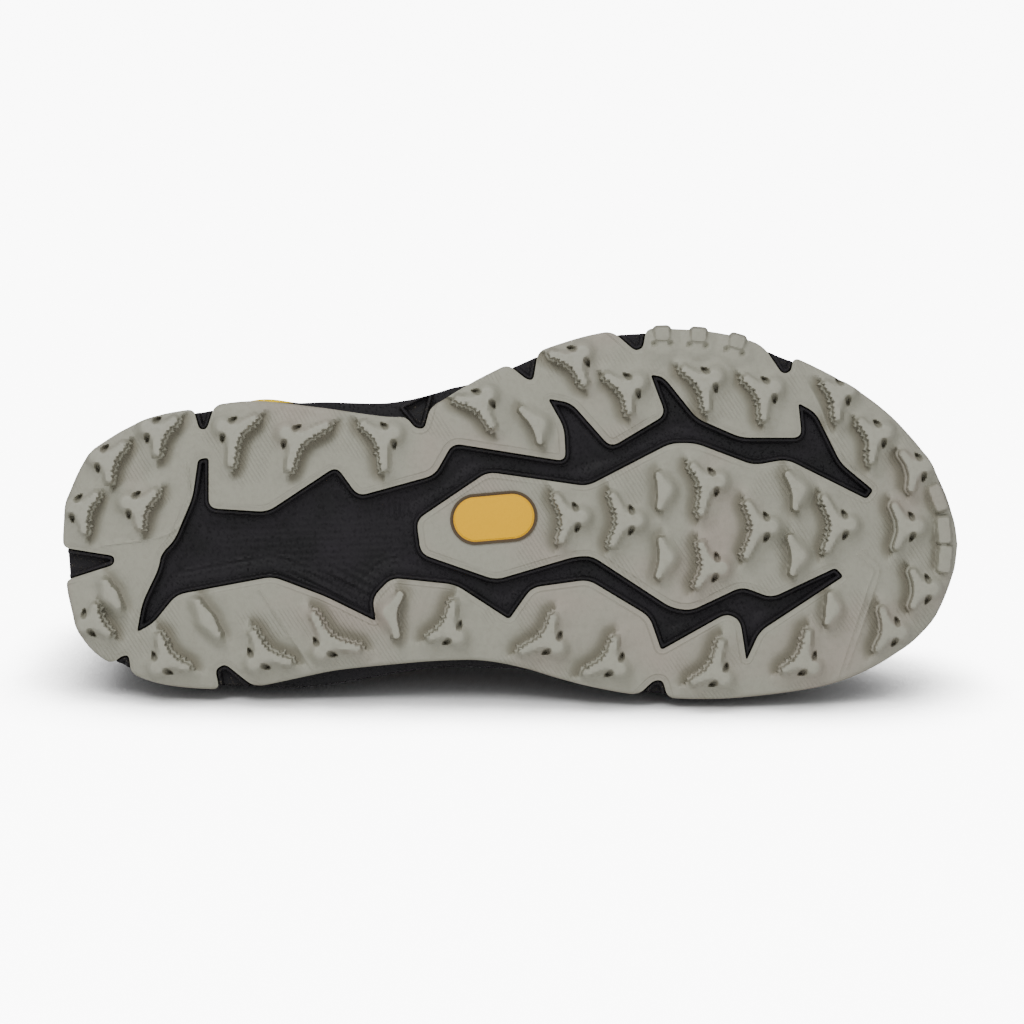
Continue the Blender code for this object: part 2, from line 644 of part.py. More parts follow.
def cut_with(piece, cutter, operation="DIFFERENCE"):
    """Cut a piece with a hidden object, or join on shapes that may overlap each other."""
    cutter.hide_render = True
    cutter.display_type = "WIRE"
    boolean = piece.modifiers.new(cutter.name, "BOOLEAN")
    boolean.operation = operation
    boolean.solver = "MANIFOLD" if operation == "UNION" else "EXACT"
    boolean.object = cutter
    return boolean


def make_outsole(material):
    """The rubber sheet with its channel and bites, and the lugs on it."""
    def sheet(bm):
        lower = cross_rows(rubber_edge, ground_face, BED_COLUMNS)
        upper = cross_rows(rubber_edge, lambda x, y: ground_face(x, y) + RUBBER, BED_COLUMNS)
        add_slab(bm, lower, upper)

    outsole = new_object("outsole", sheet, material)
    deep = LUG_DEPTH + TOE_SPRING + RUBBER + 0.01

    def openings(bm):
        add_prism(bm, channel_outline(), lambda x, y: deep, lambda x, y: -0.01)
        for notch in NOTCHES:
            corners = [(plan(*place), CORNER_RADIUS * 0.6) for place in notch]
            add_prism(bm, rounded(corners), lambda x, y: deep, lambda x, y: -0.01)

    def pocket(bm):
        place = plan(*INSET_PLACE)
        outline = stadium(INSET_LENGTH + 2 * CLEARANCE, INSET_WIDTH + 2 * CLEARANCE, INSET_TURN, place)
        add_prism(bm, outline, lambda x, y: ground_face(x, y) + INSET_DEPTH + CLEARANCE,
                  lambda x, y: -0.01)

    def foot(x, y):
        return ground_face(x, y) + LUG_SINK

    def block_top(x, y):
        return tread(x, y) + BLOCK_STEP

    def raised(bm, rows, outline_of, top):
        for row in rows:
            add_prism(bm, outline_of(row, 0.0), top, foot, outline_of(row, LUG_DRAFT))

    cut_with(outsole, new_object("channel_cutter", openings, None))
    cut_with(outsole, new_object("inset_cutter", pocket, None))
    for name, rows, outline_of, top in (("lug_arms", LUGS, lug_outline, tread),
                                        ("lug_bars", BARS, bar_outline, tread),
                                        ("rim_blocks", RIM_BLOCKS, block_outline, block_top)):
        shapes = new_object(name, lambda bm: raised(bm, rows, outline_of, top), None)
        cut_with(outsole, shapes, "UNION")
    return outsole


def make_inset(material):
    """The plain yellow plug set into the rubber under the arch."""
    def plug(bm):
        outline = stadium(INSET_LENGTH, INSET_WIDTH, INSET_TURN, plan(*INSET_PLACE))
        add_prism(bm, outline, lambda x, y: ground_face(x, y) + INSET_DEPTH,
                  lambda x, y: ground_face(x, y) - INSET_PROUD)
    return new_object("sole_inset", plug, material)


def foam_edge(column):
    """The foam's outer edge in plan: behind the rubber's lip, and flush where the rubber tucks in."""
    x, y, tuck = ring_point(column)
    widest = max(edge.tuck for edge in OUTER_EDGE + INNER_EDGE) * BALL_WIDTH
    lip = RUBBER_LIP * (1 - min(tuck / (0.4 * widest), 1.0))
    return np.array((x, y, 0.0)) - lip * ring_normal(column)


def make_midsole(form, material):
    """Foam body: floor on the rubber, stepped side, rim round the upper's foot and flat bed."""
    def wall(column):
        """From the floor's edge up the side, over the rim and down its inner face to the bed."""
        outward = ring_normal(column)
        base = foam_edge(column)
        rim = form.at(column, RIM_ROW / FORM_ROWS, CLEARANCE)
        low = foam_floor(base[0], base[1])
        points = []
        for step in SIDE_STEPS:
            place = base + step.out * SIDE_DRAFT * outward
            place[2] = low + step.height * (rim[2] - RIM_DROP - low)
            points.append(place)
        points.append(rim)
        foot = form.at(column, 0, CLEARANCE)
        foot[2] = bed(foot[0])
        points.append(foot)
        return points

    def body(bm):
        sections = []
        for i in range(SIDE_STATIONS + 1):
            outer = wall(SIDE_STATIONS - i)
            inner = wall(SIDE_STATIONS + i)
            floor = []
            top = []
            for k in range(1, BED_COLUMNS):
                low = inner[0] + (outer[0] - inner[0]) * k / BED_COLUMNS
                floor.append((low[0], low[1], foam_floor(low[0], low[1])))
                high = outer[-1] + (inner[-1] - outer[-1]) * k / BED_COLUMNS
                top.append((high[0], high[1], bed(high[0])))
            sections.append([tuple(p) for p in outer] + top + [tuple(p) for p in reversed(inner)] + floor)
        add_grid(bm, sections, close=True)

    midsole = new_object("midsole", body, material)
    shade_round(midsole)
    return midsole


def add_patch(bm, form, columns, low_of, high_of, lift, rows=FORM_ROWS):
    """A sheet that follows the upper's skin over some columns, between two heights."""
    grid = []
    for column in columns:
        low, high = low_of(column), high_of(column)
        grid.append([form.at(column, low + (high - low) * j / rows, lift) for j in range(rows + 1)])
    verts = [[bm.verts.new(point) for point in line] for line in grid]
    for before, after in zip(verts, verts[1:]):
        for j in range(rows):
            bm.faces.new((before[j], before[j + 1], after[j + 1], after[j]))


def thicken(piece, thickness, outward):
    """Give a sheet its real thickness."""
    solidify = piece.modifiers.new("thickness", "SOLIDIFY")
    solidify.thickness = thickness
    solidify.offset = 1 if outward else -1
    solidify.use_even_offset = True
    solidify.use_quality_normals = True
    shade_round(piece)


def make_upper(form, material):
    """One hollow wall from the sole to the collar, open at the throat and underneath."""
    def skin(bm):
        columns = list(range(RING + 1))
        add_patch(bm, form, columns, lambda c: 0.0, lambda c: 1.0, 0.0)

    upper = new_object("upper", skin, material, weld=1e-5, recalc=False)
    thicken(upper, UPPER_WALL, outward=False)
    return upper


def make_toe_cap(form, material):
    """Rand round the toe that falls to a low tail on each side."""
    first = column_at(TOE_CAP_START, -1)
    columns = range(-first, first + 1)

    def high(column):
        share = (ring_share(column) - TOE_CAP_START) / (1 - TOE_CAP_START)
        blend = math.sin(min(max(share, 0.0), 1.0) * math.pi / 2) ** 1.4
        return TOE_CAP_TAIL + (TOE_CAP_HEIGHT - TOE_CAP_TAIL) * blend

    cap = new_object("toe_cap", lambda bm: add_patch(bm, form, columns, lambda c: OVERLAY_FOOT, high,
                                                     OVERLAY_GAP, 5), material, recalc=False)
    thicken(cap, OVERLAY, outward=True)
    return cap


def make_heel_counter(form, material):
    """Firm cup round the heel that falls to a low tail on each side."""
    columns = range(column_at(COUNTER_END, -1), column_at(COUNTER_END, 1) + 1)

    def high(column):
        blend = math.cos(min(ring_share(column) / COUNTER_END, 1.0) * math.pi / 2) ** 0.8
        return COUNTER_TAIL + (COUNTER_HEIGHT - COUNTER_TAIL) * blend

    cup = new_object("heel_counter", lambda bm: add_patch(bm, form, columns, lambda c: OVERLAY_FOOT,
                                                          high, OVERLAY_GAP, 5), material, recalc=False)
    thicken(cup, OVERLAY, outward=True)
    return cup


def throat_columns(side):
    """Ring columns along one edge of the throat, from its top to just behind its end."""
    step = 1 / SIDE_STATIONS
    shares = [i * step for i in range(SIDE_STATIONS + 1)
              if THROAT_TOP - 0.6 * step <= i * step <= THROAT_END - 0.6 * step]
    return [column_at(share, side) for share in shares]


def eyelet_columns(side):
    """Ring columns that the eyelets sit on, bottom first, which may fall between stations."""
    columns = throat_columns(side)
    return [columns[-1] + (columns[0] - columns[-1]) * (i + 0.25) / (EYELET_ROWS - 0.5)
            for i in range(EYELET_ROWS)]


def skin_between(form, column, height, lift):
    """A point on the skin at a column between two stations."""
    low = math.floor(column)
    t = column - low
    return (1 - t) * form.at(low, height, lift) + t * form.at(low + 1, height, lift)


def make_eyestay(form, side, name, material):
    """Reinforcement along one edge of the throat, with its punched eyelets."""
    columns = sorted(throat_columns(side))
    stay = new_object(name, lambda bm: add_patch(bm, form, columns, lambda c: EYESTAY_FOOT,
                                                 lambda c: 0.995, OVERLAY_GAP, 3), material,
                      recalc=False)
    thicken(stay, OVERLAY, outward=True)

    def punches(bm):
        for column in eyelet_columns(side):
            centre = Vector(skin_between(form, column, EYELET_HEIGHT, OVERLAY_GAP))
            above = Vector(skin_between(form, column, EYELET_HEIGHT, OVERLAY_GAP + OVERLAY))
            turn = (above - centre).to_track_quat("Z", "Y").to_matrix().to_4x4()
            bmesh.ops.create_cone(bm, cap_ends=True, segments=EYELET_SEGMENTS, radius1=EYELET_RADIUS,
                                  radius2=EYELET_RADIUS, depth=6 * OVERLAY,
                                  matrix=Matrix.Translation(centre) @ turn)

    cut_with(stay, new_object(name + "_punch", punches, None))
    return stay


def make_tongue(form, material):
    """Padded tongue: it follows the inside of the throat's edges and bows up between them."""
    heights = (TONGUE_FOOT, 0.89, 1.0)

    def bowed(left, right, places):
        """Points between two of the throat's edges, bowed up by TONGUE_CROWN of their gap."""
        gap = right - left
        crown = TONGUE_CROWN * np.linalg.norm(gap)
        return [left + gap * t + np.array((0, 0, 4 * crown * t * (1 - t))) for t in places]

    def edges(share):
        """Points on the inside of the upper, up to the throat's edge, on both sides."""
        return ([form.at(column_at(share, side), h, -LINING_GAP) for h in heights] for side in (-1, 1))

    def line(share):
        left, right = edges(share)
        return left + bowed(left[-1], right[-1], (0.25, 0.5, 0.75)) + right[::-1]

    def sheet(bm):
        step = 1 / SIDE_STATIONS
        first = round(TONGUE_START / step)
        last = round(THROAT_TOP / step)
        lines = [line(i * step) for i in range(first, last - 1, -1)]
        left, right = edges(last * step)
        count = len(lines[-1])
        arch = np.array(bowed(left[-1], right[-1], [k / (count - 1) for k in range(count)]))
        middle = arch[count // 2]
        run = middle - np.array(lines[-3])[count // 2]
        run /= np.linalg.norm(run)
        for share, narrow in TONGUE_TOP:
            lines.append(list(middle + (arch - middle) * np.array((1, narrow, narrow)) + share * TONGUE_REACH * run))
        verts = [[bm.verts.new(point) for point in row] for row in lines]
        for low, high in zip(verts, verts[1:]):
            for j in range(len(low) - 1):
                bm.faces.new((low[j], low[j + 1], high[j + 1], high[j]))

    tongue = new_object("tongue", sheet, material, weld=1e-5, recalc=False)
    thicken(tongue, TONGUE_THICK, outward=False)
    return tongue


def make_collar_padding(form, material):
    """Foam roll inside the collar, round the heel from one side of the throat to the other."""
    columns = range(column_at(COLLAR_FRONT, -1), column_at(COLLAR_FRONT, 1) + 1)
    lift = -LINING_GAP
    roll = new_object("collar_padding", lambda bm: add_patch(
        bm, form, columns, lambda c: PAD_FOOT, lambda c: PAD_TOP, lift, 3), material, recalc=False)
    thicken(roll, COLLAR_PAD, outward=False)
    return roll


def make_insole(form, material):
    """Removable insole on the foam's bed, inside the foot of the upper."""
    def edge(column):
        return form.at(column, 0, -(UPPER_WALL + 2 * CLEARANCE))

    def body(bm):
        columns = INSOLE_COLUMNS
        lower = []
        upper = []
        for i in range(SIDE_STATIONS + 1):
            outer = edge(SIDE_STATIONS - i)
            inner = edge(SIDE_STATIONS + i)
            low_row = []
            high_row = []
            for k in range(columns + 1):
                point = outer + (inner - outer) * k / columns
                across = 1 if i in (0, SIDE_STATIONS) else 2 * k / columns - 1
                cup = INSOLE_CUP * across ** 4 * (1 - min(point[0] / SOLE_LENGTH, 1) ** 2)
                base = bed(point[0]) + CLEARANCE
                low_row.append((point[0], point[1], base))
                high_row.append((point[0], point[1], base + INSOLE_THICK + cup))
            lower.append(low_row)
            upper.append(high_row)
        add_slab(bm, lower, upper)

    insole = new_object("insole", body, material)
    shade_round(insole)
    return insole


def make_laces(form, material):
    """Flat lace crossed between the eyestays, its crossings joined, its ends at the top eyelets."""
    eyelets = {side: eyelet_columns(side) for side in (-1, 1)}

    def on_stay(side, row, height, layer):
        """A point of the lace's middle line on an eyestay, and the way up from it."""
        ride = OVERLAY_GAP + OVERLAY + LACE_LIFT + (0.5 + 0.3 * layer) * LACE_THICK
        column = np.interp(row, range(EYELET_ROWS), eyelets[side])
        point = Vector(skin_between(form, column, height, ride))
        up = Vector(skin_between(form, column, height, 2 * ride)) - point
        return point, up.normalized()

    def strand(name, low_side, low, high, layer):
        """One run of lace from an eyelet to one on the other side; layers lie over each other."""
        turn = 0.3 * (high - low)
        route = [on_stay(low_side, low, EYELET_HEIGHT - 0.03, layer),
                 on_stay(low_side, low + 0.5 * turn, 0.94, layer),
                 on_stay(low_side, low + turn, 1.0, layer)]
        far = [on_stay(-low_side, high - turn, 1.0, layer),
               on_stay(-low_side, high - 0.5 * turn, 0.94, layer),
               on_stay(-low_side, high, EYELET_HEIGHT - 0.03, layer)]
        up = (route[-1][1] + far[0][1]).normalized()
        route.append(((route[-1][0] + far[0][0]) / 2 + LACE_ARCH * up, up))
        route += far

        def strip(bm):
            rows = []
            for i, (point, above) in enumerate(route):
                run = (route[min(i + 1, len(route) - 1)][0] - route[max(i - 1, 0)][0]).normalized()
                side = run.cross(above).normalized() * LACE_WIDTH / 2
                lift = above * LACE_THICK / 2
                rows.append([point - side - lift, point + side - lift, point + side + lift,
                             point - side + lift])
            add_grid(bm, rows, close=True)
            for row in (rows[0], rows[-1]):
                bm.faces.new([bm.verts.new(point) for point in row])
        return new_object(name, strip, material)

    laces = strand("laces", -1, 0, 0, 0)
    for k in range(EYELET_ROWS - 1):
        for side, layer in ((-1, 1), (1, 2)):
            cut_with(laces, strand(f"lace_run_{k}_{layer}", side, k, k + 1, layer), "UNION")
    return laces


def solid_of(piece):
    """The piece's finished mesh and its world matrix."""
    graph = bpy.context.evaluated_depsgraph_get()
    return piece.evaluated_get(graph).to_mesh()


def balance(pieces):
    """Centre of mass of the whole shoe from its solids and their densities."""
    total = 0.0
    moment = Vector()
    for piece, density in pieces:
        mesh = solid_of(piece)
        mesh.calc_loop_triangles()
        points = [v.co for v in mesh.vertices]
        for triangle in mesh.loop_triangles:
            a, b, c = (points[i] for i in triangle.vertices)
            weight = a.dot(b.cross(c)) / 6 * density
            total += weight
            moment += weight * (a + b + c) / 4
    return moment / total


def resting_turn(pieces):
    """The turn and shift that lay the shoe on its inner side, toe towards +X, on the ground."""
    centre = balance(pieces)
    hull = bmesh.new()
    for piece, _ in pieces:
        for vertex in solid_of(piece).vertices:
            hull.verts.new(vertex.co)
    bmesh.ops.convex_hull(hull, input=hull.verts)
    hull.normal_update()
    down = Vector((0, 1, 0))
    nearest = math.inf
    for face in hull.faces:
        normal = face.normal
        if normal.y < 0.8 or normal.dot(centre - face.verts[0].co) > 0:
            continue
        foot = centre - normal * normal.dot(centre - face.verts[0].co)
        corners = [v.co for v in face.verts]
        outside = max(-(b - a).normalized().cross(foot - a).dot(normal)
                      for a, b in zip(corners, corners[1:] + corners[:1]))
        if outside < nearest:
            nearest = outside
            down = normal.copy()
    z_axis = -down
    x_axis = (Vector((1, 0, 0)) - z_axis * z_axis.x).normalized()
    y_axis = z_axis.cross(x_axis)
    turn = Matrix((x_axis, y_axis, z_axis)).to_4x4()
    turned = [turn @ vertex.co for vertex in hull.verts]
    hull.free()
    low = Vector([min(p[k] for p in turned) for k in range(3)])
    high = Vector([max(p[k] for p in turned) for k in range(3)])
    shift = Vector((-(low.x + high.x) / 2, -(low.y + high.y) / 2, -low.z))
    return Matrix.Translation(shift) @ turn


def build():
    """Make every piece, then lay the shoe down."""
    remove_old_objects()
    rubber = finish("outsole_rubber", 156, 154, 143, 0.75)
    foam = finish("midsole_foam", 40, 38, 40, 0.8)
    mesh = finish("upper_mesh", 36, 36, 38, 0.9)
    film = finish("overlay_film", 26, 26, 28, 0.55)
    knit = finish("lining_knit", 44, 44, 46, 0.95)
    bed_foam = finish("insole_foam", 52, 52, 54, 0.9)
    cord = finish("lace_weave", 30, 30, 31, 0.85)
    yellow = finish("inset_yellow", 250, 203, 44, 0.5)

    form = UpperForm()
    pieces = [
        (make_outsole(rubber), RUBBER_MIX),
        (make_inset(yellow), RUBBER_MIX),
        (make_midsole(form, foam), FOAM),
        (make_insole(form, bed_foam), FOAM),
        (make_upper(form, mesh), TEXTILE),
        (make_toe_cap(form, film), RUBBER_MIX),
        (make_heel_counter(form, film), RUBBER_MIX),
        (make_eyestay(form, -1, "eyestay_outer", film), RUBBER_MIX),
        (make_eyestay(form, 1, "eyestay_inner", film), RUBBER_MIX),
        (make_tongue(form, knit), TEXTILE),
        (make_collar_padding(form, knit), TEXTILE),
        (make_laces(form, cord), TEXTILE),
    ]
    bpy.context.view_layer.update()
    place = resting_turn(pieces)
    stand = bpy.data.objects.new("shoe_axes", None)
    bpy.context.scene.collection.objects.link(stand)
    for made in list(bpy.context.scene.objects):
        if made is not stand:
            made.parent = stand
    stand.matrix_world = place
    bpy.context.view_layer.update()
    return stand


build()
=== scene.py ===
"""Looks of the trail running shoe: rubber, foam, mesh, film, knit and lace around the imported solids.

Every form is made upright in the shoe's own axes: x from the heel to the toe, y towards the inner
side of the foot, z up from the ground. The turn that the frame's two mounts give lays it down.
"""
from __future__ import annotations

import json
import logging
import math
from collections import namedtuple
from dataclasses import dataclass
from enum import Enum
from functools import partial
from typing import Callable, Iterable, Sequence

import bmesh
import bpy
import numpy as np
from bmesh.types import BMEdge, BMesh, BMVert
from bpy.types import Material, NodeSocket as Socket, Object
from mathutils import Matrix, Vector

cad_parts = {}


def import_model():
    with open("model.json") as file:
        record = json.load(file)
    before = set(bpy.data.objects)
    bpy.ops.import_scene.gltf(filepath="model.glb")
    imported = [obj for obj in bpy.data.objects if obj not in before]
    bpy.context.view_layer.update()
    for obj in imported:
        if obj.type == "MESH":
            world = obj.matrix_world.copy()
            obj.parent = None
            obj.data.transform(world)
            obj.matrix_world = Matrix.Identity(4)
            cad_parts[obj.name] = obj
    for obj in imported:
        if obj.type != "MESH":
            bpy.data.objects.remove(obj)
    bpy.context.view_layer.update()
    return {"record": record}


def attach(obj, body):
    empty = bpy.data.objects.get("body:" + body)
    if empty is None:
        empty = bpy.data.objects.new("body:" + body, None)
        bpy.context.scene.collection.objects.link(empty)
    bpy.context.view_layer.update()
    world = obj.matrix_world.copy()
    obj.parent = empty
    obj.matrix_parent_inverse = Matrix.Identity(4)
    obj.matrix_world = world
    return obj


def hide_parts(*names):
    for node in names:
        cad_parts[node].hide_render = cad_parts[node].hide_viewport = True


LOG = logging.getLogger("trail_shoe")
MM = 0.001
Array = np.ndarray
# What gives each place in plan a value of its own, or a new place
Field = Callable[[Array], Array]

SOFT = 1.0
TIGHT = 0.0
Edge = namedtuple("Edge", "along across tuck", defaults=(0,))
Corner = namedtuple("Corner", "along across round", defaults=(SOFT,))
Lug = namedtuple("Lug", "along across heading left right")
Bar = namedtuple("Bar", "middle start end")
Block = namedtuple("Block", "along across heading")
Step = namedtuple("Step", "height out")
Section = namedtuple("Section", "share along heel instep centre half rise bulge reach drop")


class Side(Enum):
    """The two sides of the foot."""

    OUTER = -1
    INNER = 1


@dataclass(frozen=True)
class Last:
    """Sizes that several pieces share, in metres, as the solids have them."""

    length: float = 0.290
    ball: float = 0.121
    heel: float = 0.098
    instep: float = 0.108
    heel_stack: float = 0.032
    fore_stack: float = 0.028
    toe_spring: float = 0.012
    heel_rocker: float = 0.003
    edge_roll: float = 0.0018
    clearance: float = 0.0003
    lug_depth: float = 0.0045
    rubber: float = 0.003
    lip: float = 0.0015
    wall: float = 0.002
    feather: float = 0.008
    overlay: float = 0.0012
    overlay_gap: float = 0.0004


LAST = Last()

# The whole sole's edge from the heel's back to the toe's tip, as shares of the sole length and the
# ball width. tuck is how far the rubber stops short of the foam, as a share of the ball width.
OUTER_EDGE = [Edge(*row) for row in (
    (0.000, 0.020), (0.000, -0.040), (0.006, -0.133), (0.026, -0.231), (0.057, -0.292), (0.099, -0.340),
    (0.143, -0.362), (0.210, -0.384), (0.287, -0.382, 0.016), (0.348, -0.378, 0.033),
    (0.376, -0.384, 0.042), (0.409, -0.401, 0.030), (0.465, -0.448, 0.002), (0.528, -0.515),
    (0.597, -0.565), (0.664, -0.577), (0.741, -0.561), (0.816, -0.500), (0.872, -0.433),
    (0.910, -0.374), (0.941, -0.305), (0.965, -0.235), (0.985, -0.146), (0.996, -0.066), (1.000, 0.000),
)]
INNER_EDGE = [Edge(*row) for row in (
    (0.000, 0.020), (0.002, 0.080), (0.006, 0.146), (0.017, 0.228), (0.036, 0.289), (0.075, 0.342),
    (0.116, 0.374), (0.171, 0.385), (0.217, 0.383, 0.006), (0.265, 0.379, 0.025), (0.310, 0.367, 0.034),
    (0.376, 0.338, 0.021), (0.420, 0.326, 0.017), (0.465, 0.326, 0.018), (0.509, 0.336, 0.010),
    (0.553, 0.360, 0.003), (0.597, 0.383), (0.642, 0.401), (0.697, 0.411), (0.758, 0.407),
    (0.841, 0.381), (0.893, 0.341), (0.935, 0.284), (0.957, 0.243), (0.975, 0.194), (0.987, 0.133),
    (0.996, 0.072), (1.000, 0.000),
)]

# The channel through the rubber: its inner bank from the heel forward, the island's shore round
# the heel end, and the outer bank back to the heel. round is the share of a soft corner's radius.
INNER_BANK = [Corner(*row) for row in (
    (0.151, -0.228, TIGHT), (0.145, -0.127), (0.125, -0.013), (0.110, 0.024), (0.107, 0.064),
    (0.089, 0.154), (0.083, 0.233, TIGHT), (0.101, 0.210), (0.127, 0.133), (0.234, 0.085),
    (0.293, 0.138), (0.349, 0.204, TIGHT), (0.345, 0.141), (0.366, 0.088), (0.437, 0.106),
    (0.497, 0.199, TIGHT), (0.522, 0.114), (0.585, 0.093), (0.653, 0.191), (0.666, 0.281, TIGHT),
    (0.739, 0.183), (0.754, 0.202), (0.761, 0.310, TIGHT), (0.776, 0.231), (0.870, 0.085, TIGHT),
    (0.861, 0.061, TIGHT),
)]
ISLAND_SHORE = [Corner(*row) for row in (
    (0.789, 0.141), (0.756, 0.111), (0.699, 0.175), (0.677, 0.167), (0.589, 0.029), (0.570, 0.031),
    (0.482, 0.093), (0.399, 0.024), (0.394, -0.066), (0.473, -0.194), (0.584, -0.156), (0.677, -0.271),
    (0.704, -0.271), (0.769, -0.212), (0.806, -0.228), (0.896, -0.122, TIGHT), (0.904, -0.146, TIGHT),
)]
OUTER_BANK = [Corner(*row) for row in (
    (0.867, -0.218), (0.839, -0.353), (0.819, -0.379, TIGHT), (0.823, -0.286), (0.755, -0.286),
    (0.706, -0.337), (0.669, -0.448), (0.654, -0.454, TIGHT), (0.671, -0.347), (0.610, -0.260),
    (0.566, -0.379), (0.540, -0.390, TIGHT), (0.558, -0.313), (0.560, -0.223), (0.434, -0.271),
    (0.414, -0.186), (0.329, -0.130), (0.305, -0.210), (0.228, -0.088), (0.163, -0.098),
    (0.163, -0.233, TIGHT),
)]

# Bites out of the rubber's edge, each as its mouth and its floor (along, across)
NOTCHES = (
    ((-0.012, 0.003), (0.058, 0.029), (0.058, 0.053), (-0.012, 0.106)),
    ((0.141, -0.400), (0.152, -0.308), (0.161, -0.308), (0.175, -0.420)),
    ((0.372, -0.370), (0.393, -0.310), (0.403, -0.310), (0.415, -0.420)),
    ((0.486, -0.500), (0.517, -0.440), (0.524, -0.440), (0.532, -0.560)),
    ((0.600, -0.595), (0.637, -0.517), (0.646, -0.525), (0.652, -0.610)),
    ((0.768, -0.575), (0.801, -0.456), (0.811, -0.462), (0.818, -0.545)),
    ((0.040, 0.345), (0.066, 0.296), (0.074, 0.294), (0.078, 0.385)),
    ((0.177, 0.420), (0.170, 0.332), (0.181, 0.317), (0.232, 0.415)),
    ((0.628, 0.430), (0.658, 0.361), (0.668, 0.361), (0.678, 0.445)),
)

# Three-armed lugs: where they stand, where the tail points in degrees from the toe towards the
# inner side, and the two arms as shares of the outsole's arm
LUGS = [Lug(*row) for row in (
    (0.107, -0.300, -152, 0.85, 0.85), (0.051, -0.225, -160, 0.90, 0.80),
    (0.022, -0.093, -162, 0.85, 0.85), (0.086, -0.101, -158, 0.88, 0.80),
    (0.191, -0.300, -150, 1.00, 1.20), (0.260, -0.279, -142, 1.30, 1.10),
    (0.357, -0.284, -28, 1.15, 0.95), (0.465, -0.377, -53, 1.00, 0.90),
    (0.570, -0.491, -48, 0.95, 0.95), (0.628, -0.416, -32, 0.90, 0.92),
    (0.714, -0.432, -31, 1.00, 0.95), (0.780, -0.406, -26, 1.00, 0.90),
    (0.863, -0.403, -24, 0.95, 0.65), (0.904, -0.292, -19, 1.00, 0.80),
    (0.950, -0.204, -15, 0.85, 0.80), (0.939, -0.048, -2, 0.88, 0.95), (0.957, 0.119, 0, 0.78, 0.80),
    (0.921, 0.231, 7, 0.84, 0.90), (0.564, -0.072, -6, 0.95, 0.97), (0.625, -0.066, 1, 1.05, 1.05),
    (0.717, -0.164, -14, 1.15, 0.90), (0.719, 0.058, 6, 0.87, 0.94), (0.775, -0.048, -1, 1.20, 1.00),
    (0.863, -0.053, -2, 1.05, 1.15), (0.036, 0.202, 158, 0.65, 0.80), (0.116, 0.305, 138, 0.95, 0.90),
    (0.223, 0.292, 132, 0.95, 1.08), (0.296, 0.260, 127, 1.20, 1.15), (0.429, 0.225, 38, 0.80, 1.05),
    (0.540, 0.252, 40, 1.10, 0.93), (0.609, 0.310, 38, 1.05, 0.90), (0.725, 0.337, 38, 0.93, 1.15),
    (0.824, 0.308, 36, 0.85, 1.10),
)]

# Half lugs, each a bent bar through its middle from one end to the other (along, across)
BARS = [Bar(*row) for row in (
    ((0.530, -0.320), (0.509, -0.366), (0.532, -0.268)),
    ((0.670, -0.146), (0.662, -0.195), (0.664, -0.093)),
    ((0.672, 0.035), (0.665, -0.021), (0.662, 0.090)),
    ((0.819, -0.146), (0.805, -0.195), (0.815, -0.092)),
    ((0.819, 0.030), (0.808, -0.027), (0.811, 0.082)), ((0.055, 0.133), (0.047, 0.090), (0.067, 0.172)),
    ((0.162, 0.199), (0.149, 0.142), (0.177, 0.247)), ((0.364, 0.178), (0.378, 0.124), (0.373, 0.248)),
    ((0.857, 0.172), (0.854, 0.125), (0.850, 0.215)),
)]

# Blocks that stand out of the sole's rim, with the way that each one faces in degrees
RIM_BLOCKS = [Block(*row) for row in (
    (0.667, -0.574, -92), (0.708, -0.570, -86), (0.752, -0.552, -74), (0.981, -0.129, -22),
    (0.988, -0.040, -6), (0.989, 0.040, 6),
)]

# Half sections of the upper from the heel's back (share 0) to the toe's tip (share 1) along the
# sole's edge. along and the height place the top of the section, where heel and instep are shares
# of the last's heel and instep. centre and half are shares of its ball. rise, reach and drop are
# shares of the section's own height and width, and bulge one of the feather's inset.
SECTIONS = [Section(*row) for row in (
    (0.00, 0.052, 1.00, 0, 0.012, 0.000, 0.36, 0.50, 0.05, 0.40),
    (0.05, 0.058, 0.99, 0, 0.008, 0.116, 0.36, 0.50, 0.10, 0.40),
    (0.10, 0.082, 0.96, 0, 0.006, 0.200, 0.36, 0.50, 0.20, 0.40),
    (0.15, 0.124, 0.92, 0, 0.006, 0.242, 0.36, 0.48, 0.25, 0.38),
    (0.20, 0.169, 0.88, 0, 0.004, 0.258, 0.36, 0.45, 0.28, 0.36),
    (0.25, 0.217, 0.86, 0, 0.002, 0.268, 0.36, 0.42, 0.30, 0.34),
    (0.30, 0.269, 0.865, 0, 0.000, 0.268, 0.38, 0.40, 0.30, 0.32),
    (0.35, 0.320, 0.91, 0, -0.002, 0.250, 0.40, 0.38, 0.30, 0.28),
    (0.40, 0.368, 0, 0.91, -0.004, 0.202, 0.42, 0.36, 0.32, 0.24),
    (0.44, 0.400, 0, 1.00, -0.005, 0.140, 0.44, 0.35, 0.36, 0.20),
    (0.50, 0.465, 0, 0.93, -0.010, 0.110, 0.44, 0.35, 0.38, 0.18),
    (0.58, 0.552, 0, 0.82, -0.020, 0.095, 0.44, 0.36, 0.40, 0.14),
    (0.66, 0.641, 0, 0.72, -0.028, 0.070, 0.44, 0.38, 0.42, 0.10),
    (0.70, 0.680, 0, 0.68, -0.030, 0.000, 0.45, 0.40, 0.44, 0.06),
    (0.80, 0.775, 0, 0.63, -0.028, 0.000, 0.48, 0.42, 0.50, 0.02),
    (0.90, 0.860, 0, 0.592, -0.020, 0.000, 0.52, 0.44, 0.55, 0.00),
    (1.00, 0.908, 0, 0.555, -0.014, 0.000, 0.58, 0.46, 0.62, 0.00),
)]

HEEL_MOUNT = (0.086, -0.101)
FORE_MOUNT = (0.625, -0.066)
COLLAR_FRONT = 0.37
THROAT_TOP = 0.44
THROAT_END = 0.70


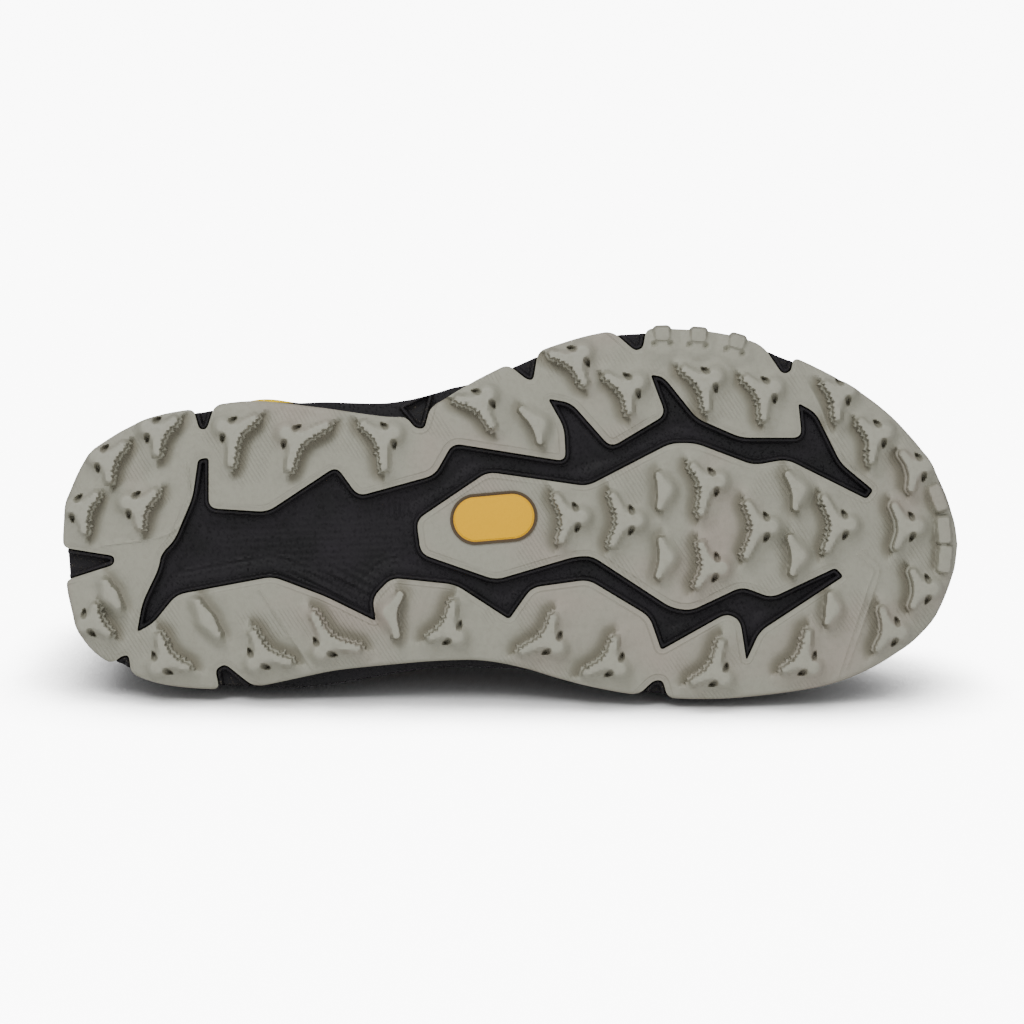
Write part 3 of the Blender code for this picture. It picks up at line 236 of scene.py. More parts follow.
def plan(along: float, across: float) -> tuple[float, float]:
    """A place on the sole in metres from its shares of the length and the ball's width."""
    return along * LAST.length, across * LAST.ball


def ramp(low: float, high: float, value: Array) -> Array:
    """Rises from 0 at low to 1 at high without a kink."""
    t = np.clip((value - low) / (high - low), 0, 1)
    return t * t * (3 - 2 * t)


def bell(value: Array, width: float) -> Array:
    """A rounded bump of height 1 about zero, that has faded out at width."""
    return np.clip(1 - (value / width) ** 2, 0, 1) ** 2


def monotone(xs: Sequence[float], ys: Sequence[float], x: Array) -> Array:
    """A smooth curve through the rows of a table that never overshoots them.

    Args:
        xs: the table's places, rising.
        ys: its values there.
        x: where the curve is wanted.

    Returns:
        The curve's values at x.
    """
    xs, ys, x = (np.asarray(v, float) for v in (xs, ys, x))
    step, rise = np.diff(xs), np.diff(ys)
    slope = rise / step
    tangent = np.zeros_like(ys)
    tangent[0], tangent[-1] = slope[0], slope[-1]
    both = slope[:-1] * slope[1:]
    bent = both > 0
    tangent[1:-1][bent] = 2 * both[bent] / (slope[:-1] + slope[1:])[bent]
    i = np.clip(np.searchsorted(xs, x, side="right") - 1, 0, len(xs) - 2)
    t = (x - xs[i]) / step[i]
    return (ys[i] + step[i] * ((t ** 3 - 2 * t ** 2 + t) * tangent[i] + (t ** 3 - t ** 2) * tangent[i + 1])
            + (3 * t ** 2 - 2 * t ** 3) * rise[i])


def smooth_path(points: Sequence[Sequence[float]], steps: int) -> Array:
    """Catmull-Rom curve through the points, steps to a span.

    Args:
        points: what the curve runs through.
        steps: places on each span.

    Returns:
        Places along the curve.
    """
    points = np.asarray(points, float)
    padded = np.vstack((2 * points[0] - points[1], points, 2 * points[-1] - points[-2]))
    t = np.linspace(0, 1, steps, endpoint=False)[:, None]
    path = []
    for before, start, end, after in zip(padded, padded[1:], padded[2:], padded[3:]):
        bend = 2 * before - 5 * start + 4 * end - after
        swing = 3 * start - before - 3 * end + after
        path.append(0.5 * (2 * start + (end - before) * t + bend * t ** 2 + swing * t ** 3))
    return np.vstack(path + [points[-1:]])


def rounded(corners: Sequence[tuple[tuple[float, float], float]], steps: int = 6) -> Array:
    """Round the corners of a closed outline; each corner is a point and its radius."""
    outline = []
    t = np.linspace(0, 1, steps)[:, None]
    for i, (point, radius) in enumerate(corners):
        point = np.array(point)
        before = np.array(corners[i - 1][0]) - point
        after = np.array(corners[(i + 1) % len(corners)][0]) - point
        start = point + before * min(radius / np.linalg.norm(before), 0.42)
        end = point + after * min(radius / np.linalg.norm(after), 0.42)
        outline.append((1 - t) ** 2 * start + 2 * (1 - t) * t * point + t ** 2 * end)
    return np.vstack(outline)


def unit(ways: Array) -> Array:
    """Directions with a length of 1."""
    return ways / np.linalg.norm(ways, axis=-1, keepdims=True)


def run_of(places: Array, axis: int = 0) -> Array:
    """Length in metres along lines of places, from the first place of each line."""
    step = np.linalg.norm(np.diff(places, axis=axis), axis=-1)
    return np.concatenate((np.zeros_like(step.take([0], axis)), np.cumsum(step, axis)), axis)


def outline_distance(points: Array, outline: Array) -> Array:
    """Distance from each point to a closed outline in plan, negative inside it.

    Args:
        points: places in plan.
        outline: the corners in order.

    Returns:
        One distance for each point.
    """
    best = np.full(len(points), np.inf)
    inside = np.zeros(len(points), bool)
    x, y = points[:, 0], points[:, 1]
    for (ax, ay), (bx, by) in zip(outline, np.roll(outline, -1, axis=0)):
        ex, ey = bx - ax, by - ay
        length = ex * ex + ey * ey
        if length < 1e-16:
            continue
        t = np.clip(((x - ax) * ex + (y - ay) * ey) / length, 0, 1)
        best = np.minimum(best, (x - ax - t * ex) ** 2 + (y - ay - t * ey) ** 2)
        if ay != by:
            inside ^= ((ay > y) != (by > y)) & (x < ex * (y - ay) / ey + ax)
    return np.where(inside, -1, 1) * np.sqrt(best)


def rod_distance(points: Array, start: Array, end: Array, thick: float = 0.0,
                 tip: float | None = None) -> Array:
    """Distance from each point to a straight rod in plan, of radius thick at its start and tip at its end.

    Args:
        points: places in plan.
        start: the middle of its first end.
        end: the middle of its other end.
        thick: its radius at the start.
        tip: its radius at the end, or None where it is even.

    Returns:
        Distances, negative inside the rod.
    """
    along = end - start
    t = np.clip((points - start) @ along / (along @ along), 0, 1)
    radius = thick + ((thick if tip is None else tip) - thick) * t
    return np.linalg.norm(points - start - t[:, None] * along, axis=1) - radius


def melt(first: Array, second: Array, radius: float) -> Array:
    """The lesser of two distances, with a fillet where they meet."""
    share = np.clip(0.5 + 0.5 * (second - first) / radius, 0, 1)
    return second + (first - second) * share - radius * share * (1 - share)


class SoleEdge:
    """The whole sole's edge as one ring, from the toe's tip over the outer side and back."""

    def __init__(self, stations: int) -> None:
        """Sample both sides at equal shares of their length.

        Args:
            stations: spans on each side between the heel's back and the toe's tip.
        """
        self.stations = stations
        self.outer, self.inner = (self._sample(table) for table in (OUTER_EDGE, INNER_EDGE))
        self.ring = np.vstack((self.outer[::-1], self.inner[1:-1]))
        along = np.roll(self.ring, -1, axis=0)[:, :2] - np.roll(self.ring, 1, axis=0)[:, :2]
        self.normal = unit(np.stack((-along[:, 1], along[:, 0], np.zeros(len(along))), axis=1))
        column = np.arange(2 * stations)
        self.share = abs(column - stations) / stations
        self.side = np.where(self.share % 1 == 0, 0, np.where(column < stations, -1, 1))

    def _sample(self, table: Iterable[Edge]) -> Array:
        """One side's points: x, y and how far the rubber is tucked in."""
        rows = [(e.along * LAST.length, e.across * LAST.ball, e.tuck * LAST.ball) for e in table]
        path = smooth_path(rows, 8)
        length = np.concatenate(([0], np.cumsum(np.hypot(*np.diff(path[:, :2], axis=0).T))))
        shares = np.linspace(0, length[-1], self.stations + 1)
        return np.stack([np.interp(shares, length, path[:, k]) for k in range(3)], axis=1)

    def foam_outline(self) -> Array:
        """The foam's edge in plan: behind the rubber's lip, flush where the rubber tucks in."""
        tuck = self.ring[:, 2:3]
        lip = LAST.lip * (1 - np.minimum(tuck / (0.4 * tuck.max()), 1))
        return self.ring[:, :2] - lip * self.normal[:, :2]

    def rubber_outline(self) -> Array:
        """The rubber's edge in plan."""
        return self.ring[:, :2] - self.ring[:, 2:3] * self.normal[:, :2]

    def column_of(self, points: Array) -> Array:
        """The ring column nearest to each point in plan, as a number with a fraction."""
        best = np.full(len(points), np.inf)
        found = np.zeros(len(points))
        ring = self.ring[:, :2]
        for i, (a, b) in enumerate(zip(ring, np.roll(ring, -1, axis=0))):
            along = b - a
            t = np.clip((points - a) @ along / (along @ along), 0, 1)
            gap = np.sum((points - a - t[:, None] * along) ** 2, axis=1)
            near = gap < best
            best[near], found[near] = gap[near], (i + t)[near]
        return found


EDGE = SoleEdge(128)


def toe_rise(x: Array) -> Array:
    """How far the ground surface lifts towards the toe and the heel's back."""
    toe_start, heel_start = 0.68 * LAST.length, 0.065 * LAST.length
    toe = np.maximum(0, (x - toe_start) / (LAST.length - toe_start)) ** 2
    heel = np.maximum(0, (heel_start - x) / heel_start) ** 2
    return LAST.toe_spring * toe + LAST.heel_rocker * heel


def tread(points: Array) -> Array:
    """Height of the lugs' tops over the ground: spring, rocker and a slight roll to the edges."""
    x, y = points[:, 0], points[:, 1]
    outer = np.interp(x, EDGE.outer[:, 0], EDGE.outer[:, 1])
    inner = np.interp(x, EDGE.inner[:, 0], EDGE.inner[:, 1])
    across = (2 * y - outer - inner) / np.maximum(inner - outer, 0.02)
    return toe_rise(x) + LAST.edge_roll * np.minimum(abs(across), 1.1) ** 6


def bed(x: Array) -> Array:
    """Height of the foam's top, which the insole lies on."""
    blend = ramp(0.25, 0.65, np.asarray(x) / LAST.length)
    return LAST.heel_stack + (LAST.fore_stack - LAST.heel_stack) * blend + 0.8 * toe_rise(x)


class UpperForm:
    """The outer skin of the upper as a ring of sections, which every piece of the upper follows."""

    def __init__(self, edge: SoleEdge, rows: int) -> None:
        """Sample the skin.

        Args:
            edge: the ring of places that the sections stand on.
            rows: spans between the sole and the top of a section.
        """
        self.edge, self.rows = edge, rows
        shares = [s.share for s in SECTIONS]
        value = {name: monotone(shares, [getattr(s, name) for s in SECTIONS], edge.share)[:, None]
                 for name in Section._fields[1:]}
        outward = edge.normal
        foot = np.column_stack((edge.ring[:, :2], np.zeros(len(edge.ring)))) - LAST.feather * outward
        foot[:, 2] = bed(foot[:, 0]) + LAST.clearance
        top = np.hstack((value["along"] * LAST.length,
                         (value["centre"] + edge.side[:, None] * value["half"]) * LAST.ball,
                         value["heel"] * LAST.heel + value["instep"] * LAST.instep))
        height = (top[:, 2:] - foot[:, 2:]) * np.array((0, 0, 1))
        flat = (foot - top) * np.array((1, 1, 0))
        low = foot + value["bulge"] * LAST.feather * outward + value["rise"] * height
        high = top + value["reach"] * flat - value["drop"] * height
        t = np.linspace(0, 1, rows + 1)[None, :, None]
        foot, low, high, top = (p[:, None, :] for p in (foot, low, high, top))
        self.points = ((1 - t) ** 3 * foot + 3 * (1 - t) ** 2 * t * low
                       + 3 * (1 - t) * t ** 2 * high + t ** 3 * top)
        self.normals = self._normals()

    def _normals(self) -> Array:
        """Outward normals; where the two sides meet on the ridge they share one normal."""
        around = np.roll(self.points, -1, axis=0) - np.roll(self.points, 1, axis=0)
        normals = np.cross(np.gradient(self.points, axis=1), around)
        normals /= np.maximum(np.linalg.norm(normals, axis=2, keepdims=True), 1e-9)
        ridge = np.flatnonzero(self.edge.share >= THROAT_END - 1e-6)
        partner = -ridge % len(self.edge.ring)
        shared = normals[ridge, -1] + normals[partner, -1]
        normals[ridge, -1] = shared / np.maximum(np.linalg.norm(shared, axis=1, keepdims=True), 1e-9)
        normals[0, -1] = normals[1, -1]
        return normals

    def column(self, share: float | Array, side: Side) -> float | Array:
        """The ring column at a share of one side."""
        return self.edge.stations * (1 + side.value * share)

    def at(self, column: Array, height: Array, lift: float | Array = 0.0) -> Array:
        """Points on the skin, lifted off it.

        Args:
            column: ring columns, with a fraction where they fall between two.
            height: 0 at the sole to 1 at the section's top.
            lift: how far outside the skin.

        Returns:
            An array of points in the shape of column and height together.
        """
        column, height, lift = np.broadcast_arrays(column, height, lift)
        place = np.clip(height, 0, 1) * self.rows
        row = np.minimum(place.astype(int), self.rows - 1)
        v = (place - row)[..., None]
        low = np.floor(column).astype(int)
        u = (column - low)[..., None]
        count = len(self.points)
        point, normal = (
            (1 - u) * ((1 - v) * grid[low % count, row] + v * grid[low % count, row + 1])
            + u * ((1 - v) * grid[(low + 1) % count, row] + v * grid[(low + 1) % count, row + 1])
            for grid in (self.points, self.normals))
        return point + lift[..., None] * normal / np.linalg.norm(normal, axis=-1, keepdims=True)


def mesh_of(name: str, bm: BMesh) -> bpy.types.Mesh:
    """A mesh from a bmesh, which is freed."""
    mesh = bpy.data.meshes.new(name)
    bm.to_mesh(mesh)
    bm.free()
    return mesh


def shown(name: str, data: bpy.types.ID) -> Object:
    """A new object in the scene."""
    made = bpy.data.objects.new(name, data)
    bpy.context.scene.collection.objects.link(made)
    return made


def sealed(bm: BMesh) -> None:
    """Close a mesh's holes and turn its faces outwards."""
    bmesh.ops.holes_fill(bm, edges=[e for e in bm.edges if e.is_boundary])
    bmesh.ops.recalc_face_normals(bm, faces=bm.faces)


class Workshop:
    """Turns bmeshes made upright in the shoe's axes into pieces that ride on the frame."""

    def __init__(self, record: dict) -> None:
        """Work out how the shoe lies from the two mounts on its tread.

        Args:
            record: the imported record.
        """
        mounts = {m["name"]: m for m in record["mounts"]}
        heel, fore = (Vector(mounts[name]["pos_m"]) for name in ("heel_tread", "forefoot_tread"))
        heel_plan, fore_plan = (Vector((*plan(*place), 0)) for place in (HEEL_MOUNT, FORE_MOUNT))
        up = -Vector(mounts["heel_tread"]["axis"]).normalized()
        run = (fore - heel).normalized()
        flat = fore_plan - heel_plan
        turn = math.atan2(flat.y, flat.x)
        toe = math.cos(turn) * run - math.sin(turn) * up.cross(run)
        inner = up.cross(toe)
        axes = Matrix((toe, inner, up)).transposed()
        self.matrix = Matrix.Translation(heel - axes @ heel_plan) @ axes.to_4x4()

    def world(self, x: float, y: float, z: float) -> Vector:
        """A place in the shoe's axes as it lies."""
        return self.matrix @ Vector((x, y, z))

    def piece(self, name: str, bm: BMesh, paint: Material, slot: str,
              replaces: Sequence[str] = (), sharp: float = 35.0) -> Object:
        """Lay a finished bmesh down as a piece of the shoe.

        Args:
            name: the piece's name.
            bm: its mesh in the shoe's axes, which is freed.
            paint: its material.
            slot: the record's slot that the finish belongs to; not used.
            replaces: nodes of the frame that it stands for.
            sharp: edges that turn more than this many degrees stay sharp.

        Returns:
            The new object, at the origin, with its place in its mesh.
        """
        bm.transform(self.matrix)
        mesh = mesh_of(name, bm)
        mesh.materials.append(paint)
        mesh.shade_smooth()
        mesh.set_sharp_from_angle(angle=math.radians(sharp))
        made = shown(name, mesh)
        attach(made, "root")
        if replaces:
            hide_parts(*replaces)
        LOG.info("%s: %d faces", name, len(mesh.polygons))
        return made

    def settle(self, piece: Object) -> None:
        """Turn a piece's modifiers into its mesh."""
        graph = bpy.context.evaluated_depsgraph_get()
        mesh = bpy.data.meshes.new_from_object(piece.evaluated_get(graph))
        piece.modifiers.clear()
        piece.data = mesh


def lofted(points: Array, uv: Array | None = None, weld: float = 1e-6) -> BMesh:
    """A sheet through rows of points: one grid, whose vertices move to them.

    Args:
        points: places by column and row.
        uv: the sheet's own flat coordinates in metres by column and row.
        weld: vertices this close become one.

    Returns:
        The sheet, with a UV map where uv is given.
    """
    columns, rows = points.shape[:2]
    bm = bmesh.new()
    layer = bm.loops.layers.uv.new("UVMap")
    bmesh.ops.create_grid(bm, x_segments=columns - 1, y_segments=rows - 1, size=0.5)
    bm.verts.index_update()
    if uv is not None:
        for face in bm.faces:
            for loop in face.loops:
                row, column = divmod(loop.vert.index, columns)
                loop[layer].uv = uv[column, row]
    for vertex in bm.verts:
        row, column = divmod(vertex.index, columns)
        vertex.co = points[column, row]
    bmesh.ops.remove_doubles(bm, verts=bm.verts, dist=weld)
    bmesh.ops.dissolve_degenerate(bm, edges=bm.edges, dist=weld)
    return bm


class ReliefSheet:
    """A flat sheet in plan, divided finely only where its relief needs it."""

    def __init__(self, cell: float, region: Field) -> None:
        """Lay a grid over the whole sole.

        Args:
            cell: size of the coarse grid's cells.
            region: signed distance of places in plan to the sheet's outline, negative inside.
        """
        self.region = region
        margin = 4 * cell
        length, width = LAST.length + 2 * margin, LAST.ball + 2 * margin
        middle = Vector((LAST.length / 2, -0.085 * LAST.ball, 0))
        self.bm = bmesh.new()
        size = Matrix.Translation(middle) @ Matrix.Diagonal((length, width, 1, 1))
        bmesh.ops.create_grid(self.bm, x_segments=round(length / cell), y_segments=round(width / cell),
                              size=0.5, matrix=size)
        self._drop(3 * cell)

    def _centres(self) -> Array:
        """Middles of the faces in plan."""
        return np.array([face.calc_center_median()[:2] for face in self.bm.faces])

    def _drop(self, past: float) -> None:
        """Delete the faces that lie further than past outside the outline."""
        outside = self.region(self._centres()) > past
        gone = [face for face, out in zip(self.bm.faces, outside) if out]
        bmesh.ops.delete(self.bm, geom=gone, context="FACES")

    def refine(self, wanted: Field, cuts: int) -> None:
        """Divide the faces whose middles are wanted."""
        marked = wanted(self._centres())
        edges = dict.fromkeys(e for face, mark in zip(self.bm.faces, marked) if mark for e in face.edges)
        bmesh.ops.subdivide_edges(self.bm, edges=list(edges), cuts=cuts, use_grid_fill=True)

    def trim(self) -> list[BMEdge]:
        """Cut the sheet back to the outline and draw its border onto it.

        Returns:
            The border's edges.
        """
        self._drop(0.0)
        pinched = True
        while pinched:
            pinched = [v for v in self.bm.verts if sum(e.is_boundary for e in v.link_edges) > 2]
            gone = dict.fromkeys(v.link_faces[0] for v in pinched if v.link_faces)
            bmesh.ops.delete(self.bm, geom=list(gone), context="FACES")
        border = [v for v in self.bm.verts if v.is_boundary]
        flat = self.slide(np.array([v.co[:2] for v in border]), self.region, 0.8 * MM)
        for vertex, place in zip(border, flat):
            vertex.co.xy = place
        near = dict.fromkeys(e.other_vert(v) for v in border for e in v.link_edges)
        near = [v for v in near if not v.is_boundary]
        for _ in range(2):
            bmesh.ops.smooth_vert(self.bm, verts=near, factor=0.5, use_axis_x=True, use_axis_y=True)
        return [e for e in self.bm.edges if e.is_boundary]

    @staticmethod
    def slide(flat: Array, distance: Field, most: float) -> Array:
        """Move places in plan to where a distance is zero, but no further than most."""
        start, step = flat.copy(), 0.02 * MM
        for _ in range(4):
            here = distance(flat)
            slope = np.stack([distance(flat + np.array(way)) - distance(flat - np.array(way))
                              for way in ((step, 0), (0, step))], axis=1) / (2 * step)
            size = np.maximum(np.sum(slope ** 2, axis=1), 0.25)
            flat = flat - (here / size)[:, None] * slope
            gone = flat - start
            reach = np.linalg.norm(gone, axis=1, keepdims=True)
            flat = start + gone * np.minimum(1, most / np.maximum(reach, 1e-12))
        return flat

    def close(self, border: list[BMEdge], rings: Sequence[Field]) -> None:
        """Draw the border up ring by ring and close the far side.

        Args:
            border: edges of the border.
            rings: for each ring, its places from the border's places in plan.
        """
        edges = border
        for ring in rings:
            grown = bmesh.ops.extrude_edge_only(self.bm, edges=edges)["geom"]
            verts = [g for g in grown if isinstance(g, BMVert)]
            edges = [g for g in grown if isinstance(g, BMEdge)]
            for vertex, place in zip(verts, ring(np.array([v.co for v in verts]))):
                vertex.co = place
        bmesh.ops.triangle_fill(self.bm, edges=edges, use_beauty=True)
        bmesh.ops.recalc_face_normals(self.bm, faces=self.bm.faces)


def spots(flat: Array, centre: Array, reach: float) -> Array:
    """Indices of the places within a square about a centre."""
    return np.flatnonzero(np.abs(flat - centre).max(axis=1) < reach)


def turned(flat: Array, centre: Array, degrees: float) -> Array:
    """Places in a feature's own axes, the first of which points along its heading."""
    angle = math.radians(degrees)
    cos, sin = math.cos(angle), math.sin(angle)
    return (flat - centre) @ np.array(((cos, -sin), (sin, cos)))


class Openings:
    """The channel and the bites in the rubber sheet."""

    def __init__(self, corner: float = 3.0 * MM, tight: float = 1.25 * MM) -> None:
        """Draw the outlines.

        Args:
            corner: radius of a soft corner.
            tight: radius of a sharp one.
        """
        corners = INNER_BANK + ISLAND_SHORE + OUTER_BANK
        self.channel = rounded([(plan(c.along, c.across), max(c.round * corner, tight)) for c in corners])
        self.notches = [rounded([(plan(*place), 0.6 * corner) for place in notch]) for notch in NOTCHES]
        self.edge = EDGE.rubber_outline()
        self.soften = 2.2 * MM

    def bank(self, flat: Array) -> Array:
        """Distance to the channel or a bite, negative inside them."""
        best = outline_distance(flat, self.channel)
        for notch in self.notches:
            near = spots(flat, notch.mean(axis=0), 0.03)
            if len(near):
                best[near] = np.minimum(best[near], outline_distance(flat[near], notch))
        return best

    def rubber(self, flat: Array) -> Array:
        """Distance to the rubber's outline, negative in the rubber."""
        return -melt(-outline_distance(flat, self.edge), self.bank(flat), self.soften)


@dataclass
class Outsole:
    """The moulded rubber: sheet, lugs, half lugs, rim blocks and fine moulded lines."""

    openings: Openings
    arm: float = 10.0 * MM
    tail: float = 6.6 * MM
    half_top: float = 2.0 * MM
    arm_tip: float = 1.4 * MM
    lobe: float = 2.3 * MM
    fillet: float = 1.6 * MM
    spread: float = math.radians(115)
    flank: float = 1.5 * MM
    soften: float = 1.9 * MM
    stairs: tuple = ((-0.1 * MM, 0.62, 0.26 * MM), (0.85 * MM, 0.38, 0.30 * MM))
    tooth: float = 1.6 * MM
    ragged: float = 1.15 * MM
    scoop: float = 1.1 * MM
    scoop_from: float = 1.3 * MM
    scoop_width: float = 4.2 * MM
    apron: float = 5.2 * MM
    apron_height: float = 1.25 * MM
    pit: float = 1.25 * MM
    pit_length: float = 1.7 * MM
    pit_depth: float = 3.2 * MM
    pit_place: float = 4.0 * MM
    bar_half: float = 1.95 * MM
    block_reach: float = 4.2 * MM
    block_half: float = 3.1 * MM
    block_step: float = 1.6 * MM
    block_round: float = 1.7 * MM
    bevel_width: float = 1.25 * MM
    bevel_depth: float = 0.28 * MM
    line_width: float = 0.6 * MM
    line_height: float = 0.4 * MM
    cell: float = 1.6 * MM
    lines: tuple = (
        ((0.2187, 0.1194), (0.2785, 0.3316)),
        ((0.8156, -0.4907), (0.8433, -0.3714), (0.8632, -0.2520), (0.9031, -0.1592)),
        ((0.8854, 0.0265), (0.9031, 0.0663), (0.8965, 0.1194), (0.8643, 0.3528)),
        ((0.8910, 0.0130), (0.9090, 0.0560), (0.9040, 0.1250), (0.8740, 0.3300)),
        ((0.0437, 0.0027), (0.1157, -0.0265), (0.1400, -0.1000), (0.1400, -0.2200)),
    )

    def region(self, flat: Array) -> Array:
        """Distance to the outline of the rubber with its rim blocks, negative inside."""
        found = self.openings.rubber(flat)
        for block in RIM_BLOCKS:
            near = spots(flat, np.array(plan(block.along, block.across)), 12 * MM)
            if len(near):
                found[near] = np.minimum(found[near], self._block_gap(block, flat[near]))
        return found

    def _block_gap(self, block: Block, flat: Array) -> Array:
        """Distance to a rim block's foot."""
        local = turned(flat, np.array(plan(block.along, block.across)), block.heading)
        half = self.block_half * (1 + 0.6 * ramp(0.90, 0.95, block.along))
        middle = np.array((-0.325 * self.block_reach, 0))
        gap = np.abs(local - middle) - np.array((0.675 * self.block_reach, half)) + self.block_round
        outside = np.linalg.norm(np.maximum(gap, 0), axis=1)
        return outside + np.minimum(gap.max(axis=1), 0) - self.block_round

    def _lug(self, lug: Lug, flat: Array) -> tuple[Array, ...]:
        """Height, crest distance, hollow-side weight and pit distance of one lug at places near it.

        Args:
            lug: where it stands and how it is turned.
            flat: places in plan.

        Returns:
            Four arrays, one value for each place.
        """
        local = turned(flat, np.array(plan(lug.along, lug.across)), lug.heading)
        gap = None
        for angle, reach, tip in ((0.0, self.tail, self.lobe),
                                  (self.spread, lug.left * self.arm, self.arm_tip),
                                  (-self.spread, lug.right * self.arm, self.arm_tip)):
            end = (reach - tip - 0.5 * MM) * np.array((math.cos(angle), math.sin(angle)))
            rod = rod_distance(local, np.zeros(2), end, self.half_top, tip)
            gap = rod if gap is None else melt(gap, rod, self.fillet)
        u, v = local.T
        behind = -u - abs(v) * math.tan(self.spread - math.pi / 2)
        hollow = ramp(-0.2 * MM, 1.0 * MM, behind)
        phase = 7.0 * lug.along + 3.0 * lug.across
        wave = abs(((v / self.tooth + phase) % 1) - 0.5) - 0.25
        uneven = np.sin(2.3 * v / MM + 40 * phase) + 0.6 * np.sin(5.1 * v / MM + 9 * phase)
        rough = 1 - ramp(0.915, 0.925, lug.along)
        torn = gap + rough * hollow * (self.ragged * wave + 0.13 * MM * uneven)
        depth = LAST.lug_depth
        width = self.flank + self.soften * ramp(-1.0 * MM, 3.0 * MM, u)
        plain = depth * (1 - ramp(-0.9 * MM, width, gap))
        plain = np.maximum(plain, self.apron_height * bell(np.maximum(gap, 0), self.apron))
        steps = np.zeros_like(gap)
        for k, (start, drop, run) in enumerate(self.stairs):
            own = torn + (0.2 * MM * rough * np.sin(3.1 * v / MM + 2 * k + 30 * phase) if k else 0)
            steps += drop * ramp(start, start + run, own)
        crater = self.scoop * bell(gap - self.scoop_from, self.scoop_width)
        crater *= ramp(0, self.scoop_from, gap)
        height = (1 - hollow) * plain + hollow * (depth * (1 - steps) - crater)
        pits = np.full(len(flat), 1.0)
        for sign in (1, -1):
            spot = self.pit_place * np.array((math.cos(self.spread / 2), sign * math.sin(self.spread / 2)))
            away = turned(local, spot, sign * math.degrees(self.spread))
            across = abs(away[:, 1]) / (self.pit * (0.75 - 0.30 * away[:, 0] / self.pit_length))
            reach = np.hypot(across, away[:, 0] / self.pit_length)
            height -= self.pit_depth * (1 - ramp(0.35, 1.15, reach))
            pits = np.minimum(pits, (reach - 1) * self.pit)
        return height, np.where(hollow > 0.5, torn, gap), hollow, pits

    def _bar(self, bar: Bar, flat: Array) -> tuple[Array, ...]:
        """Height, crest distance and back weight of a half lug, steep behind and soft in front.

        Args:
            bar: its middle and both ends.
            flat: places in plan.

        Returns:
            Three arrays, one value for each place.
        """
        middle, start, end = (np.array(plan(*place)) for place in (bar.middle, bar.start, bar.end))
        tip = 0.6 * self.bar_half
        start = start + (middle - start) / np.linalg.norm(middle - start) * tip
        end = end + (middle - end) / np.linalg.norm(middle - end) * tip
        gap = melt(rod_distance(flat, middle, start, self.bar_half, tip),
                   rod_distance(flat, middle, end, self.bar_half, tip), self.fillet)
        chord = (end - start) / np.linalg.norm(end - start)
        front = np.array((chord[1], -chord[0]))
        lean = middle - (start + end) / 2
        lean[0] += 0.8 * MM * (1 if bar.middle[0] > 0.3 else -1)
        ahead = (flat - middle) @ front * np.sign(front @ lean)
        back = 1 - ramp(-2.6 * MM, -0.4 * MM, ahead)
        width = self.flank + self.soften * ramp(-2.0 * MM, 2.0 * MM, ahead)
        plain = LAST.lug_depth * (1 - ramp(-0.9 * MM, width, gap))
        plain = np.maximum(plain, 0.8 * self.apron_height * bell(np.maximum(gap, 0), 0.8 * self.apron))
        steep = LAST.lug_depth * (1 - ramp(-0.1 * MM, 0.6 * MM, gap))
        steep -= (0.7 * self.scoop * bell(gap - 0.8 * MM, 0.9 * self.scoop_width)
                  * ramp(0, 0.8 * MM, gap))
        return (1 - back) * plain + back * steep, gap, 0.04 * back

    def _block(self, block: Block, flat: Array) -> tuple[Array, ...]:
        """Height and crest distance of a rim block, with a fan-shaped foot or, at the toe, a step.

        Args:
            block: where it stands and which way it faces.
            flat: places in plan.

        Returns:
            Height, crest distance and an even weight for each place.
        """
        gap = self._block_gap(block, flat) + 0.5 * MM
        local = turned(flat, np.array(plan(block.along, block.across)), block.heading)
        toe = ramp(0.90, 0.95, block.along)
        top = LAST.lug_depth - self.block_step + 0.12 * local[:, 0]
        height = top * (1 - ramp(-0.5 * MM, 0.8 * MM, gap))
        foot = np.hypot(local[:, 0] + 1.1 * self.block_reach, 0.9 * local[:, 1])
        fan = (1 - toe) * 1.5 * MM * bell(np.maximum(foot - 0.8 * self.block_half, 0), 4.5 * MM)
        back = toe * (1 - ramp(-0.9 * self.block_reach, -0.6 * self.block_reach, local[:, 0]))
        dip = 0.9 * back * bell(gap - 0.8 * MM, 2.6 * MM)
        for side in (1, -1):
            corner = local - np.array((-1.1 * self.block_reach, 0.85 * side * self.block_half))
            dip = np.maximum(dip, 1.6 * (1 - toe) * bell(np.linalg.norm(corner, axis=1), 1.4 * MM))
        return np.maximum(height, fan) - dip * MM, gap, 0.04 + 0 * gap

    def fields(self, flat: Array) -> dict[str, Array]:
        """The relief's height, the distance to the nearest crest and the hollow sides' weight.

        Args:
            flat: places in plan.

        Returns:
            The fields by name: height, crest, hollow and pits.
        """
        raised, sunk, hollow = (np.zeros(len(flat)) for _ in range(3))
        crest, pits = np.full(len(flat), 1.0), np.full(len(flat), 1.0)
        shapes = [(self._lug, lug, (lug.along, lug.across)) for lug in LUGS]
        shapes += [(self._bar, bar, bar.middle) for bar in BARS]
        shapes += [(self._block, block, (block.along, block.across)) for block in RIM_BLOCKS]
        for shape, row, centre in shapes:
            near = spots(flat, np.array(plan(*centre)), 20 * MM)
            if not len(near):
                continue
            own, gap, *more = shape(row, flat[near])
            raised[near] = np.maximum(raised[near], own)
            sunk[near] = np.minimum(sunk[near], own)
            crest[near] = np.minimum(crest[near], gap)
            if more:
                hollow[near] = np.maximum(hollow[near], more[0] * (abs(gap - 0.6 * MM) < 1.2 * MM))
            if len(more) > 1:
                pits[near] = np.minimum(pits[near], more[1])
        height = raised + sunk * (1 - ramp(0, 1.0 * MM, raised))
        return {"height": height, "crest": crest, "hollow": hollow, "pits": pits}

